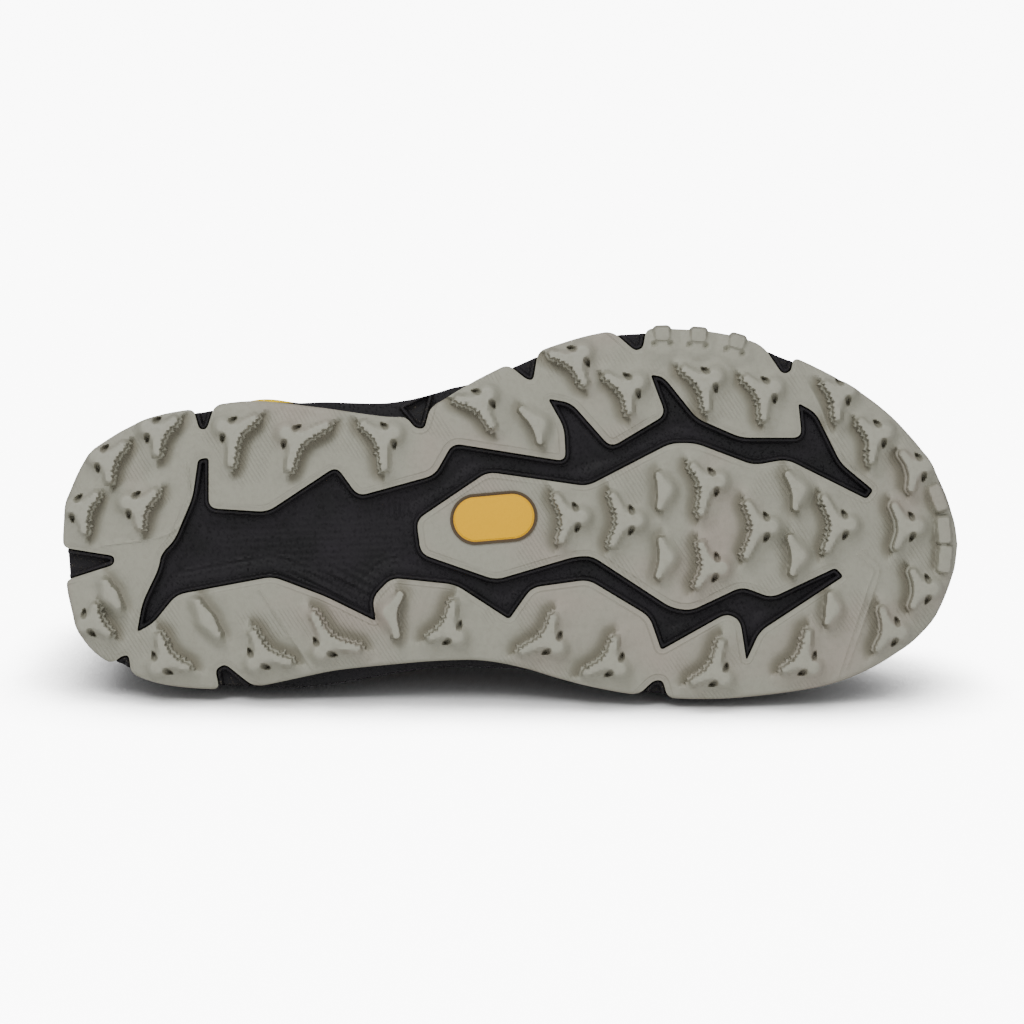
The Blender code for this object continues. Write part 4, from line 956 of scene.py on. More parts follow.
    def line_gap(self, flat: Array) -> Array:
        """Distance to the nearest moulded line."""
        best = np.full(len(flat), 1.0)
        for line in self.lines:
            path = smooth_path([plan(*place) for place in line], 6)
            for start, end in zip(path, path[1:]):
                best = np.minimum(best, rod_distance(flat, start, end))
        return best

    def surface(self, flat: Array) -> tuple[Array, Array]:
        """Height of the rubber's ground side in the shoe's axes, and its relief over the sheet.

        Args:
            flat: places in plan.

        Returns:
            Two arrays, one value for each place.
        """
        relief = self.fields(flat)["height"]
        bare = 1 - np.clip(relief / (0.4 * LAST.lug_depth), 0, 1)
        bank = self.openings.bank(flat)
        bevel = 1 - ramp(self.bevel_width - 0.3 * MM, self.bevel_width + 0.1 * MM, bank)
        relief = relief - bare * self.bevel_depth * bevel
        rim = outline_distance(flat, self.openings.edge)
        relief = relief - bare * 0.7 * MM * ramp(-1.4 * MM, 0.2 * MM, rim) ** 2
        relief = relief + bare * self.line_height * bell(self.line_gap(flat), self.line_width)
        return tread(flat) + LAST.lug_depth - relief, relief

    def _near_shapes(self, flat: Array) -> Array:
        """Where the sheet is divided once: at its lugs, rim and moulded lines."""
        found = self.fields(flat)
        return ((abs(found["crest"] - 1.2 * MM) < 2.6 * MM)
                | (abs(self.region(flat) + 0.8 * MM) < 1.8 * MM) | (self.line_gap(flat) < 1.0 * MM))

    def _near_crests(self, flat: Array) -> Array:
        """Where it is divided again: on hollow sides and close to pits, rim and lines."""
        found = self.fields(flat)
        return ((found["hollow"] > 0.03) | (found["pits"] < 0.8 * MM)
                | (abs(self.region(flat) + 0.6 * MM) < 0.8 * MM) | (self.line_gap(flat) < 0.6 * MM))

    def _near_terraces(self, flat: Array) -> Array:
        """Where it is divided a third time: on the steps of the hollow sides."""
        found = self.fields(flat)
        return (found["hollow"] > 0.3) & (abs(found["crest"] - 0.55 * MM) < 0.85 * MM)

    def _crest(self, flat: Array) -> Array:
        """Distance to the nearest crest."""
        return self.fields(flat)["crest"]

    @staticmethod
    def _back(places: Array) -> Array:
        """The sheet's other face over places of its border."""
        flat = places[:, :2]
        return np.column_stack((flat, tread(flat) + (LAST.lug_depth + LAST.rubber)))

    def build(self) -> BMesh:
        """The rubber as one closed mesh, with its relief kept as an attribute for the paint."""
        sheet = ReliefSheet(self.cell, self.region)
        for wanted in (self._near_shapes, self._near_crests, self._near_terraces):
            sheet.refine(wanted, 1)
        border = sheet.trim()
        bm = sheet.bm
        flat = np.array([v.co[:2] for v in bm.verts])
        on_border = np.array([v.is_boundary for v in bm.verts])
        crest = np.flatnonzero((abs(self._crest(flat)) < 0.2 * MM) & ~on_border)
        flat[crest] = ReliefSheet.slide(flat[crest], self._crest, 0.2 * MM)
        height, relief = self.surface(flat)
        layers = [bm.verts.layers.float.new(name) for name in ("relief", "bank")]
        for vertex, place, z, over, bank in zip(bm.verts, flat, height, relief, self.openings.bank(flat)):
            vertex.co = (place[0], place[1], z)
            vertex[layers[0]] = over / LAST.lug_depth
            vertex[layers[1]] = bank
        sheet.close(border, [self._back])
        return bm


@dataclass
class Midsole:
    """The foam: floor seen through the channel, sculpted side, rim and bed."""

    openings: Openings
    form: UpperForm
    draft: float = 3.0 * MM
    rim_drop: float = 0.6 * MM
    rim_row: float = 1 / 8
    lip_height: float = 2.3 * MM
    lip_from: float = 0.05 * MM
    lip_to: float = 1.2 * MM
    hollow: float = 0.8 * MM
    rib: float = 1.9 * MM
    rib_place: float = 0.2195
    rib_half: float = 0.048
    rib_span: tuple[float, float] = (0.05, 0.32)
    accent_half: float = 0.035
    accent_span: tuple[float, float] = (1.0 * MM, 9.0 * MM)
    cell: float = 2.4 * MM
    side: tuple = (
        Step(0.00, -0.20), Step(0.03, -0.04), Step(0.09, 0.00), Step(0.20, 0.04), Step(0.31, 0.05),
        Step(0.345, 0.00), Step(0.37, -0.26), Step(0.39, -0.36), Step(0.45, -0.36), Step(0.47, -0.28),
        Step(0.50, -0.08), Step(0.53, -0.04), Step(0.62, -0.06), Step(0.70, -0.10), Step(0.73, -0.16),
        Step(0.76, -0.36), Step(0.80, -0.42), Step(0.90, -0.66), Step(0.97, -0.88), Step(1.00, -1.00),
    )

    def region(self, flat: Array) -> Array:
        """Distance to the foam's edge, negative inside."""
        return outline_distance(flat, EDGE.foam_outline())

    def floor(self, flat: Array) -> Array:
        """Height of the foam's lower face with the relief inside the channel.

        Args:
            flat: places in plan.

        Returns:
            Heights in the shoe's axes.
        """
        depth = -self.openings.bank(flat)
        lip = self.lip_height * ramp(self.lip_from, self.lip_from + 0.4 * MM, depth) * (
            1 - ramp(self.lip_to, self.lip_to + 0.6 * MM, depth))
        sunk = self.hollow * ramp(3 * MM, 7 * MM, depth)
        base = tread(flat) + LAST.lug_depth + LAST.rubber + LAST.clearance
        return base - lip + sunk - self._ribs(flat, depth)

    def worn(self, flat: Array) -> Array:
        """How strongly the foam is scuffed: in the bites, and a little on the lip along the banks."""
        depth = -self.openings.bank(flat)
        share = 0.45 * ramp(0, 0.3 * MM, depth)
        share *= 1 - ramp(self.lip_to, self.lip_to + 0.5 * MM, depth)
        for notch in self.openings.notches:
            near = spots(flat, notch.mean(axis=0), 0.03)
            if len(near):
                inside = 1 - ramp(0, 0.6 * MM, outline_distance(flat[near], notch))
                share[near] = np.maximum(share[near], inside)
        return share

    def _ribs(self, flat: Array, depth: Array) -> Array:
        """Low ribs, nested grooves and pin marks in the channel's floor.

        Args:
            flat: places in plan.
            depth: how far inside the channel each one lies.

        Returns:
            Heights over the floor.
        """
        along, across = flat[:, 0] / LAST.length, flat[:, 1] / LAST.ball
        inside = ramp(self.lip_to + 0.6 * MM, self.lip_to + 1.4 * MM, depth)
        brushed = (np.exp(-((along - 0.29) / 0.11) ** 4) * np.exp(-((across + 0.01) / 0.075) ** 4)
                   * np.cos(2 * math.pi * (flat[:, 1] + 0.03 * flat[:, 0]) / (2.1 * MM)))
        upright = (np.exp(-((along - 0.373) / 0.022) ** 4) * np.exp(-((across + 0.095) / 0.03) ** 4)
                   * np.cos(2 * math.pi * flat[:, 0] / (1.9 * MM)))
        nested = (np.exp(-((along - 0.295) / 0.05) ** 4) * np.exp(-((across - 0.11) / 0.06) ** 4)
                  * np.cos(2 * math.pi * (flat[:, 1] - 0.55 * flat[:, 0]) / (3.0 * MM)))
        relief = 0.10 * MM * brushed + 0.22 * MM * upright + 0.25 * MM * nested
        heel = 1 - ramp(0.36, 0.40, along)
        for far in (5.6 * MM, 7.4 * MM):
            relief = relief + 0.3 * MM * heel * ramp(-0.02, 0.01, across) * bell(depth - far, 0.6 * MM)
        for place in ((0.304, -0.156), (0.844, 0.233)):
            gap = np.linalg.norm(flat - np.array(plan(*place)), axis=1)
            relief = relief + 0.35 * MM * bell(gap - 1.5 * MM, 0.5 * MM)
        return inside * relief

    def _showing(self, hidden: float, flat: Array) -> Array:
        """Where the foam shows past the rubber, and as far as hidden behind its edge."""
        return self.openings.rubber(flat) > -hidden

    def _at_lip(self, flat: Array) -> Array:
        """Where the lip along the banks stands."""
        return abs(self.openings.bank(flat) + 1.4 * MM) < 1.4 * MM

    def _wall(self, step: Step, places: Array) -> Array:
        """The ring of the side at one of its steps.

        Args:
            step: how high and how far out the ring lies.
            places: the ring before it.

        Returns:
            The ring's places.
        """
        column = EDGE.column_of(places[:, :2])
        whole = np.arange(len(EDGE.ring) + 1)
        foam = np.vstack((EDGE.foam_outline(), EDGE.foam_outline()[:1]))
        out = np.vstack((EDGE.normal, EDGE.normal[:1]))
        base = np.stack([np.interp(column, whole, foam[:, k]) for k in (0, 1)], axis=1)
        outward = np.stack([np.interp(column, whole, out[:, k]) for k in (0, 1)], axis=1)
        rim = self.form.at(column, self.rim_row, LAST.clearance)
        low = tread(base) + LAST.lug_depth + LAST.rubber + LAST.clearance
        low_rib = self.rib_span[0] < step.height < self.rib_span[1]
        rib = bell(base[:, 0] / LAST.length - self.rib_place, self.rib_half) * (base[:, 1] < 0) * low_rib
        flat = base + (step.out * self.draft + self.rib * rib)[:, None] * outward
        return np.column_stack((flat, low + step.height * (rim[:, 2] - self.rim_drop - low)))

    def _rim(self, height: float, drop: float, places: Array) -> Array:
        """The ring where the rim meets the upper's skin, or its foot on the bed."""
        found = self.form.at(EDGE.column_of(places[:, :2]), height, LAST.clearance)
        found[:, 2] -= drop
        return found

    def build(self) -> BMesh:
        """The foam as one closed mesh."""
        sheet = ReliefSheet(self.cell, self.region)
        for hidden in (1.5 * MM, 0.8 * MM):
            sheet.refine(partial(self._showing, hidden), 1)
        sheet.refine(self._at_lip, 1)
        border = sheet.trim()
        flat = np.array([v.co[:2] for v in sheet.bm.verts])
        layer = sheet.bm.verts.layers.float.new("worn")
        for vertex, z, share in zip(sheet.bm.verts, self.floor(flat), self.worn(flat)):
            vertex.co.z = z
            vertex[layer] = share
        rings = [partial(self._wall, step) for step in self.side[1:]]
        rings += [partial(self._rim, self.rim_row, 0.0), partial(self._rim, 0.0, LAST.clearance)]
        sheet.close(border, rings)
        places = np.array([v.co for v in sheet.bm.verts])
        over = places[:, 2] - tread(places[:, :2]) - LAST.lug_depth - LAST.rubber - LAST.clearance
        along = places[:, 0] / LAST.length
        accent = sheet.bm.verts.layers.float.new("accent")
        marked = ((over > self.accent_span[0]) & (over < self.accent_span[1]) & (places[:, 1] < 0)
                  & (abs(along - self.rib_place) < self.accent_half))
        for vertex, high, mark in zip(sheet.bm.verts, over > 0.5 * MM, marked):
            vertex[accent] = float(mark)
            if high:
                vertex[layer] = 0.0
        return sheet.bm


@dataclass
class Plug:
    """The plain plug set into the rubber under the arch, with a dark groove round its field."""

    length: float = 28.2 * MM
    width: float = 16.5 * MM
    turn: float = math.radians(-5)
    proud: float = 0.4 * MM
    depth: float = 1.2 * MM
    border: float = 0.95 * MM
    place: tuple[float, float] = (0.480, -0.072)

    def build(self) -> BMesh:
        """A stadium of even height, its face grooved round a slightly domed field."""
        bm = bmesh.new()
        half = self.width / 2
        bmesh.ops.create_circle(bm, segments=64, radius=half, cap_ends=True)
        for vertex in bm.verts:
            vertex.co.x += math.copysign(self.length / 2 - half, vertex.co.x)
        bm.faces.ensure_lookup_table()
        face = bm.faces[0]
        if face.normal.z > 0:
            bmesh.ops.reverse_faces(bm, faces=[face])
        grown = bmesh.ops.extrude_face_region(bm, geom=[face])["geom"]
        for vertex in (g for g in grown if isinstance(g, BMVert)):
            vertex.co.z = -self.proud
        for vertex in bm.verts:
            if vertex.co.z == 0:
                vertex.co.z = self.depth
        bmesh.ops.recalc_face_normals(bm, faces=bm.faces)
        front = min(bm.faces, key=lambda f: f.calc_center_median().z)
        for thickness, depth in ((0.55 * MM, 0.0), (0.3 * MM, -0.3 * MM), (0.45 * MM, 0.0),
                                 (0.3 * MM, 0.3 * MM), (0.5 * MM, 0.05 * MM)):
            bmesh.ops.inset_region(bm, faces=[front], thickness=thickness, depth=depth, use_even_offset=True)
        layer = bm.verts.layers.float.new("border")
        for vertex in bm.verts:
            run = max(abs(vertex.co.x) - (self.length / 2 - half), 0.0)
            inner = half - math.hypot(run, vertex.co.y)
            vertex[layer] = 1.0 if inner < self.border else 0.0
        place = Matrix.Translation((*plan(*self.place), 0)) @ Matrix.Rotation(self.turn, 4, "Z")
        bm.transform(place)
        lift = tread(np.array([v.co[:2] for v in bm.verts])) + LAST.lug_depth
        for vertex, z in zip(bm.verts, lift):
            vertex.co.z += z
        return bm


def screen(red: float, green: float, blue: float) -> tuple[float, float, float, float]:
    """A colour as it looks on a screen, 0 to 255, as the linear one that a shader takes."""
    share = np.array((red, green, blue)) / 255
    linear = np.where(share <= 0.04045, share / 12.92, ((share + 0.055) / 1.055) ** 2.4)
    return (*(float(v) for v in linear), 1.0)


class Paint:
    """A Principled material whose nodes are added one by one."""

    def __init__(self, name: str, roughness: float, **sockets: float | tuple) -> None:
        """Start a material.

        Args:
            name: its name.
            roughness: its even roughness.
            sockets: other constants of the shader, with _ for a space.
        """
        self.material = bpy.data.materials.new(name)
        self.material.use_nodes = True
        self.tree = self.material.node_tree
        self.shader = self.tree.nodes["Principled BSDF"]
        self.shader.inputs["Roughness"].default_value = roughness
        for socket, value in sockets.items():
            self.shader.inputs[socket.replace("_", " ")].default_value = value

    def node(self, kind: str, links: dict[str | int, object], out: int | str = 0,
             **settings: object) -> Socket:
        """Add a node.

        Args:
            kind: the node's type after ShaderNode.
            links: what its inputs take, by name or number: a socket or a value.
            out: the output that is handed back.
            settings: the node's own settings.

        Returns:
            One output of the new node.
        """
        made = self.tree.nodes.new("ShaderNode" + kind)
        for name, value in settings.items():
            setattr(made, name, value)
        for name, value in links.items():
            if isinstance(value, Socket):
                self.tree.links.new(value, made.inputs[name])
            else:
                made.inputs[name].default_value = value
        return made.outputs[out]

    def maths(self, operation: str, first: object, second: object = 0.0) -> Socket:
        """A Math node."""
        return self.node("Math", {0: first, 1: second}, operation=operation)

    def times(self, first: object, second: object) -> Socket:
        """Two values multiplied."""
        return self.maths("MULTIPLY", first, second)

    def kept(self, name: str) -> Socket:
        """A value that the mesh keeps at its vertices."""
        return self.node("Attribute", {}, "Fac", attribute_name=name)

    def place(self) -> Socket:
        """Object coordinates, in metres as the shoe lies."""
        return self.node("TexCoord", {}, "Object")

    def flat(self) -> Socket:
        """The piece's own flat coordinates in metres."""
        return self.node("UVMap", {}, uv_map="UVMap")

    def noise(self, place: Socket, size: float, detail: float = 2.0,
              rough: float = 0.5) -> Socket:
        """Noise whose lumps are about size across, in metres."""
        links = {"Vector": place, "Scale": 1 / size, "Detail": detail, "Roughness": rough}
        return self.node("TexNoise", links)

    def cells(self, place: Socket, size: float, stray: float = 1.0) -> Socket:
        """Distance to the middle of the nearest of many cells in the flat coordinates, as a share of size."""
        links = {"Vector": place, "Scale": 1 / size, "Randomness": stray}
        return self.node("TexVoronoi", links, "Distance", voronoi_dimensions="2D")

    def bands(self, place: Socket, pitch: float, way: str,
              bend: float = 0.0) -> Socket:
        """Even ribs a pitch apart, in metres, across a direction of the flat coordinates."""
        links = {"Vector": place, "Scale": math.pi / 10 / pitch, "Distortion": bend}
        return self.node("TexWave", links, "Fac", bands_direction=way)

    def span(self, value: Socket, low: float, high: float, to_low: float = 0.0,
             to_high: float = 1.0) -> Socket:
        """A value carried from one span to another, kept inside it."""
        return self.node("MapRange", {0: value, 1: low, 2: high, 3: to_low, 4: to_high}, clamp=True)

    def mix(self, share: object, first: object, second: object) -> Socket:
        """A blend of two colours, each a socket or as it looks on a screen."""
        first, second = (screen(*c) if isinstance(c, tuple) else c for c in (first, second))
        return self.node("Mix", {0: share, 6: first, 7: second}, 2, data_type="RGBA")

    def colour(self, value: Socket) -> None:
        """Let the base colour vary."""
        self.tree.links.new(value, self.shader.inputs["Base Color"])

    def roughness(self, value: Socket) -> None:
        """Let the roughness vary."""
        self.tree.links.new(value, self.shader.inputs["Roughness"])

    def bump(self, *layers: tuple[Socket, float]) -> None:
        """Relief from heights between 0 and 1, each with its real height in metres."""
        normal = None
        for height, depth in layers:
            made = self.tree.nodes.new("ShaderNodeBump")
            made.inputs["Distance"].default_value = depth
            self.tree.links.new(height, made.inputs["Height"])
            if normal is not None:
                self.tree.links.new(normal, made.inputs["Normal"])
            normal = made.outputs[0]
        self.tree.links.new(normal, self.shader.inputs["Normal"])


@dataclass(frozen=True)
class RubberFinish:
    """Warm grey moulded rubber: lighter on the lugs' tops, with painted shade down their flanks and in the
    hollows below the sheet.
    """

    down: tuple[float, float, float]
    sheet: tuple = (163, 162, 148)
    top: tuple = (170, 169, 155)
    # darker tone: painted shade where the relief sinks, and also the mottling, groove and hatch tone
    low: tuple = (129, 125, 110)
    rosy: tuple = (167, 159, 147)
    # painted shade on faces that turn away from the tread's facing, the lugs' steep flanks
    steep: tuple = (104, 99, 84)
    contour: float = 1.75 * MM
    grain: float = 0.35 * MM

    def make(self) -> Material:
        """The finish as a material."""
        paint = Paint("outsole_rubber", 0.62, Specular_IOR_Level=0.32)
        place = paint.place()
        relief = paint.kept("relief")
        facing = paint.node("VectorMath", {0: paint.node("NewGeometry", {}, "Normal"), 1: self.down}, "Value",
                            operation="DOT_PRODUCT")
        cloud = paint.noise(place, 38 * MM, 3.0)
        fine = paint.noise(place, 1.6 * MM, 4.0, 0.6)
        speck = paint.noise(place, self.grain, 2.0)
        tone = paint.mix(paint.span(cloud, 0.50, 0.68), self.sheet, self.rosy)
        # painted shade: darker where the relief sinks below the sheet, in the scoops beside the lugs and
        # along the bevelled edges
        tone = paint.mix(paint.span(relief, -0.04, -0.26), tone, self.low)
        tone = paint.mix(paint.span(relief, 0.90, 0.97), tone, self.top)
        tone = paint.mix(paint.span(fine, 0.45, 0.75, 0.0, 0.22), tone, self.low)
        # painted shade: the steeper a face stands to the tread, the darker it is painted
        tone = paint.mix(paint.span(facing, 0.60, 0.15, 0.0, 0.6), tone, self.steep)
        bank = paint.kept("bank")
        groove = paint.maths("ABSOLUTE", paint.maths("SUBTRACT", bank, self.contour))
        groove = paint.times(paint.span(groove, 0.10 * MM, 0.36 * MM, 1.0, 0.0),
                             paint.span(relief, 0.04, 0.10, 1.0, 0.0))
        groove = paint.times(groove, paint.span(cloud, 0.40, 0.60, 0.15, 1.0))
        tone = paint.mix(paint.times(groove, 0.4), tone, self.low)
        tilt = paint.node("Mapping", {"Vector": place, "Rotation": (0, 0.6, 0)}, "Vector")
        hatch = paint.bands(tilt, 1.15 * MM, "X", 0.6)
        zone = paint.span(paint.noise(place, 17 * MM, 1.0), 0.54, 0.62)
        hatch = paint.times(paint.times(paint.span(hatch, 0.55, 0.95), zone),
                            paint.span(relief, 0.30, 0.10, 0.0, 1.0))
        tone = paint.mix(paint.times(hatch, 0.22), tone, self.low)
        paint.colour(tone)
        paint.roughness(paint.span(fine, 0.3, 0.7, 0.52, 0.72))
        paint.bump((fine, 0.10 * MM), (speck, 0.04 * MM), (hatch, -0.08 * MM), (groove, -0.15 * MM))
        return paint.material


@dataclass(frozen=True)
class FoamFinish:
    """Near-black moulded foam with a fine skin, scuffed lighter where it meets the ground."""

    dark: tuple = (16, 15, 18)
    cloudy: tuple = (37, 34, 39)
    yellow: tuple = (255, 214, 0)
    scuff: tuple = (104, 98, 88)

    def make(self) -> Material:
        """The finish as a material."""
        paint = Paint("midsole_foam", 0.58, Specular_IOR_Level=0.3)
        place = paint.place()
        skin = paint.noise(place, 0.55 * MM, 3.0, 0.6)
        cloud = paint.noise(place, 14 * MM, 3.0)
        worn = paint.kept("worn")
        flecks = paint.span(paint.noise(place, 0.8 * MM, 5.0, 0.75), 0.56, 0.66)
        tone = paint.mix(paint.span(cloud, 0.35, 0.75), self.dark, self.cloudy)
        accent = paint.kept("accent")
        tone = paint.mix(paint.span(accent, 0.45, 0.55), tone, self.yellow)
        paint.colour(paint.mix(paint.times(flecks, paint.times(worn, 0.8)), tone,
                               self.scuff))
        paint.roughness(paint.span(cloud, 0.3, 0.7, 0.54, 0.74))
        paint.bump((cloud, 0.15 * MM), (skin, 0.09 * MM), (flecks, 0.12 * MM))
        return paint.material


@dataclass(frozen=True)
class PlugFinish:
    """Smooth yellow rubber with a dark moulded border."""

    yellow: tuple = (255, 192, 0)
    border: tuple = (88, 76, 60)

    def make(self) -> Material:
        """The finish as a material."""
        paint = Paint("inset_yellow", 0.5, Specular_IOR_Level=0.25)
        fine = paint.noise(paint.place(), 0.8 * MM, 3.0)
        tone = paint.mix(paint.span(fine, 0.35, 0.75, 0.0, 0.2), self.yellow,
                         tuple(0.9 * v for v in self.yellow))
        border = paint.kept("border")
        paint.colour(paint.mix(paint.span(border, 0.3, 0.7), tone, self.border))
        paint.bump((fine, 0.05 * MM))
        return paint.material


@dataclass(frozen=True)
class MeshFinish:
    """Black engineered mesh: rows of small open cells over a woven ground."""

    thread: tuple = (46, 46, 49)
    gap: tuple = (12, 12, 13)
    cell: float = 2.3 * MM

    def make(self) -> Material:
        """The finish as a material."""
        paint = Paint("upper_mesh", 0.85, Specular_IOR_Level=0.25, Sheen_Weight=0.25, Sheen_Roughness=0.5)
        flat = paint.flat()
        cells = paint.cells(flat, self.cell, 0.35)
        weave = paint.bands(flat, 0.6 * MM, "DIAGONAL", 0.4)
        cloud = paint.noise(paint.place(), 22 * MM, 3.0)
        hole = paint.span(cells, 0.34, 0.20)
        tone = paint.mix(paint.span(cloud, 0.3, 0.7), self.thread, tuple(0.8 * v for v in self.thread))
        paint.colour(paint.mix(hole, tone, self.gap))
        paint.bump((weave, 0.10 * MM), (paint.span(hole, 0, 1, 1, 0), 0.45 * MM))
        return paint.material


@dataclass(frozen=True)
class FilmFinish:
    """Black film welded onto the mesh, faintly grained."""

    name: str
    rough: float = 0.42
    dark: tuple = (25, 25, 27)

    def make(self) -> Material:
        """The finish as a material."""
        paint = Paint(self.name, self.rough, Specular_IOR_Level=0.5)
        grain = paint.noise(paint.place(), 0.7 * MM, 3.0)
        cloud = paint.noise(paint.place(), 12 * MM)
        paint.colour(paint.mix(paint.span(cloud, 0.35, 0.7), self.dark, tuple(1.35 * v for v in self.dark)))
        paint.roughness(paint.span(cloud, 0.3, 0.7, self.rough - 0.06, self.rough + 0.1))
        paint.bump((grain, 0.06 * MM))
        return paint.material


@dataclass(frozen=True)
class KnitFinish:
    """Soft dark knit of the lining."""

    name: str
    dark: tuple = (34, 34, 36)
    light: tuple = (56, 56, 59)
    stitch: float = 1.1 * MM

    def make(self) -> Material:
        """The finish as a material."""
        paint = Paint("lining_knit_" + self.name, 0.95, Specular_IOR_Level=0.15, Sheen_Weight=0.4)
        flat = paint.flat()
        loops = paint.cells(flat, self.stitch, 0.2)
        nap = paint.noise(paint.place(), 0.5 * MM, 3.0)
        paint.colour(paint.mix(paint.span(loops, 0.1, 0.6), self.light, self.dark))
        paint.bump((nap, 0.08 * MM), (paint.span(loops, 0.0, 0.7, 1, 0), 0.3 * MM))
        return paint.material


@dataclass(frozen=True)
class InsoleFinish:
    """Dark cloth over the insole's foam, with small punched dots."""

    cloth: tuple = (58, 58, 61)
    dot: tuple = (20, 20, 21)

    def make(self) -> Material:
        """The finish as a material."""
        paint = Paint("insole_foam", 0.9, Specular_IOR_Level=0.2, Sheen_Weight=0.3)
        dots = paint.cells(paint.flat(), 6 * MM, 0.0)
        weave = paint.noise(paint.place(), 0.4 * MM, 3.0)
        hole = paint.span(dots, 0.16, 0.12)
        paint.colour(paint.mix(hole, self.cloth, self.dot))
        paint.bump((weave, 0.08 * MM), (paint.span(hole, 0, 1, 1, 0), 0.5 * MM))
        return paint.material


@dataclass(frozen=True)
class LaceFinish:
    """Black flat braid."""

    dark: tuple = (24, 24, 25)
    light: tuple = (52, 52, 54)
    strand: float = 1.3 * MM

    def make(self) -> Material:
        """The finish as a material."""
        paint = Paint("lace_weave", 0.8, Specular_IOR_Level=0.25, Sheen_Weight=0.3)
        flat = paint.flat()
        across = paint.bands(flat, self.strand, "DIAGONAL", 0.2)
        along = paint.bands(flat, self.strand, "Y", 0.2)
        braid = paint.times(across, along)
        paint.colour(paint.mix(braid, self.dark, self.light))
        paint.bump((braid, 0.3 * MM))
        return paint.material


@dataclass(frozen=True)
class FloorFinish:
    """Plain pale floor, lit up to the white of a studio sweep where it is seen, with a painted contact shadow
    where ambient occlusion finds the shoe close by.
    """

    tone: float = 0.90
    glow: float = 9.0
    # reach and curve of the painted contact shadow under the shoe
    contact: float = 0.04
    open_from: float = 0.25
    open_to: float = 0.92
    falloff: float = 3.2

    def make(self) -> Material:
        """The finish as a material."""
        paint = Paint("floor", 0.9, Specular_IOR_Level=0.1)
        paint.shader.inputs["Base Color"].default_value = (self.tone, self.tone, self.tone, 1)
        paint.shader.inputs["Emission Color"].default_value = (1, 1, 1, 1)
        seen = paint.node("LightPath", {}, "Is Camera Ray")
        # painted contact shadow: the glow fades where ambient occlusion finds the shoe near
        open_sky = paint.node("AmbientOcclusion", {"Distance": self.contact}, "AO", samples=8)
        shade = paint.maths("POWER", paint.span(open_sky, self.open_from, self.open_to), self.falloff)
        glow = paint.times(paint.times(seen, self.glow), shade)
        paint.tree.links.new(glow, paint.shader.inputs["Emission Strength"])
        return paint.material


@dataclass
class Tailor:
    """What the pieces of the upper share: patches of its skin and their thickness."""

    shop: Workshop
    form: UpperForm
    pressed: float = 0.3 * MM

    def relief(self, column: Array, height: Array) -> Array:
        """Soft swells and flex creases of the skin, in metres out from the plain form.

        Args:
            column: ring columns.
            height: 0 at the sole to 1 at the top.

        Returns:
            How far out each place moves.
        """
        column, height = np.broadcast_arrays(np.asarray(column, float), np.asarray(height, float))
        count = len(self.form.points)
        share = abs((column % count) - self.form.edge.stations) / self.form.edge.stations
        side = np.sign((column % count) - self.form.edge.stations)
        padded = 1.1 * MM * bell(height - 0.90, 0.16) * (1 - ramp(0.30, 0.38, share))
        found = padded * np.where(side > 0, 0.2 + 0.8 * (1 - ramp(0.0, 0.15, share)), 1)
        for middle, slant, depth in ((0.640, 0.050, 0.55), (0.690, 0.035, 0.85), (0.735, 0.028, 0.7),
                                     (0.775, 0.020, 0.4)):
            line = share - middle + slant * (1 - height) + 0.006 * side * np.sin(9 * height)
            found = found - depth * MM * bell(line, 0.016) * ramp(0.25, 0.5, height)
            found = found + 0.4 * depth * MM * bell(line - 0.022, 0.016) * ramp(0.25, 0.5, height)
        swell = np.sin(23 * share + 2 * side) * np.sin(5 * height)
        return found + 0.18 * MM * swell * ramp(0.2, 0.4, height) * (1 - ramp(0.85, 1.0, height))

    def skin(self, column: Array, height: Array, lift: float | Array = 0.0) -> Array:
        """Places over the dressed skin of the upper, pressed flat where it would meet the ground."""
        points = self.form.at(column, height, lift + self.relief(column, height))
        up = self.shop.matrix.row[2]
        over = points @ np.array(up.xyz) + up.w - self.pressed
        return points - np.minimum(over, 0)[..., None] * np.array(up.xyz)

    def patch(self, columns: Array, low: Array, high: Array, rows: int,
              lift: float = 0.0) -> BMesh:
        """A sheet on the skin between two heights, with its flat coordinates in metres.

        Args:
            columns: ring columns from one end to the other.
            low: lower height at each column.
            high: upper height at each column.
            rows: spans from low to high.
            lift: how far over the skin.

        Returns:
            The sheet.
        """
        low, high = (np.broadcast_to(v, columns.shape)[:, None] for v in (low, high))
        share = np.linspace(0, 1, rows + 1)[None, :]
        points = self.skin(columns[:, None], low + (high - low) * share, lift)
        uv = np.stack(np.broadcast_arrays(run_of(points[:, rows // 2])[:, None], run_of(points, 1)), axis=2)
        bm = lofted(points, uv)
        bmesh.ops.reverse_faces(bm, faces=bm.faces)
        return bm

    def thicken(self, piece: Object, thickness: float, offset: float, edge: float,
                segments: int = 3) -> None:
        """Give a sheet its thickness and round its edges.

        Args:
            piece: the sheet.
            thickness: its real thickness.
            offset: 1 outwards, -1 inwards.
            edge: radius of the rounding.
            segments: how finely it is rounded.
        """
        self.solidify(piece, thickness, offset)
        self.round_edges(piece, edge, segments)

    @staticmethod
    def solidify(piece: Object, thickness: float, offset: float) -> None:
        """Give a sheet its thickness, outwards where offset is 1 and inwards where it is -1."""
        solid = piece.modifiers.new("thickness", "SOLIDIFY")
        solid.thickness, solid.offset = thickness, offset
        solid.use_quality_normals = True

    @staticmethod
    def round_edges(piece: Object, width: float, segments: int) -> None:
        """Round the edges between a sheet's faces and its rim."""
        rim = piece.modifiers.new("rim", "BEVEL")
        rim.width, rim.segments = width, segments
        rim.limit_method, rim.angle_limit = "ANGLE", math.radians(50)

    @staticmethod
    def rounded_ends(count: int, power: float) -> Array:
        """How much of its height a patch keeps from end to end, so that its ends are round."""
        t = np.linspace(-1, 1, count)
        return np.sqrt(1 - abs(t) ** power)


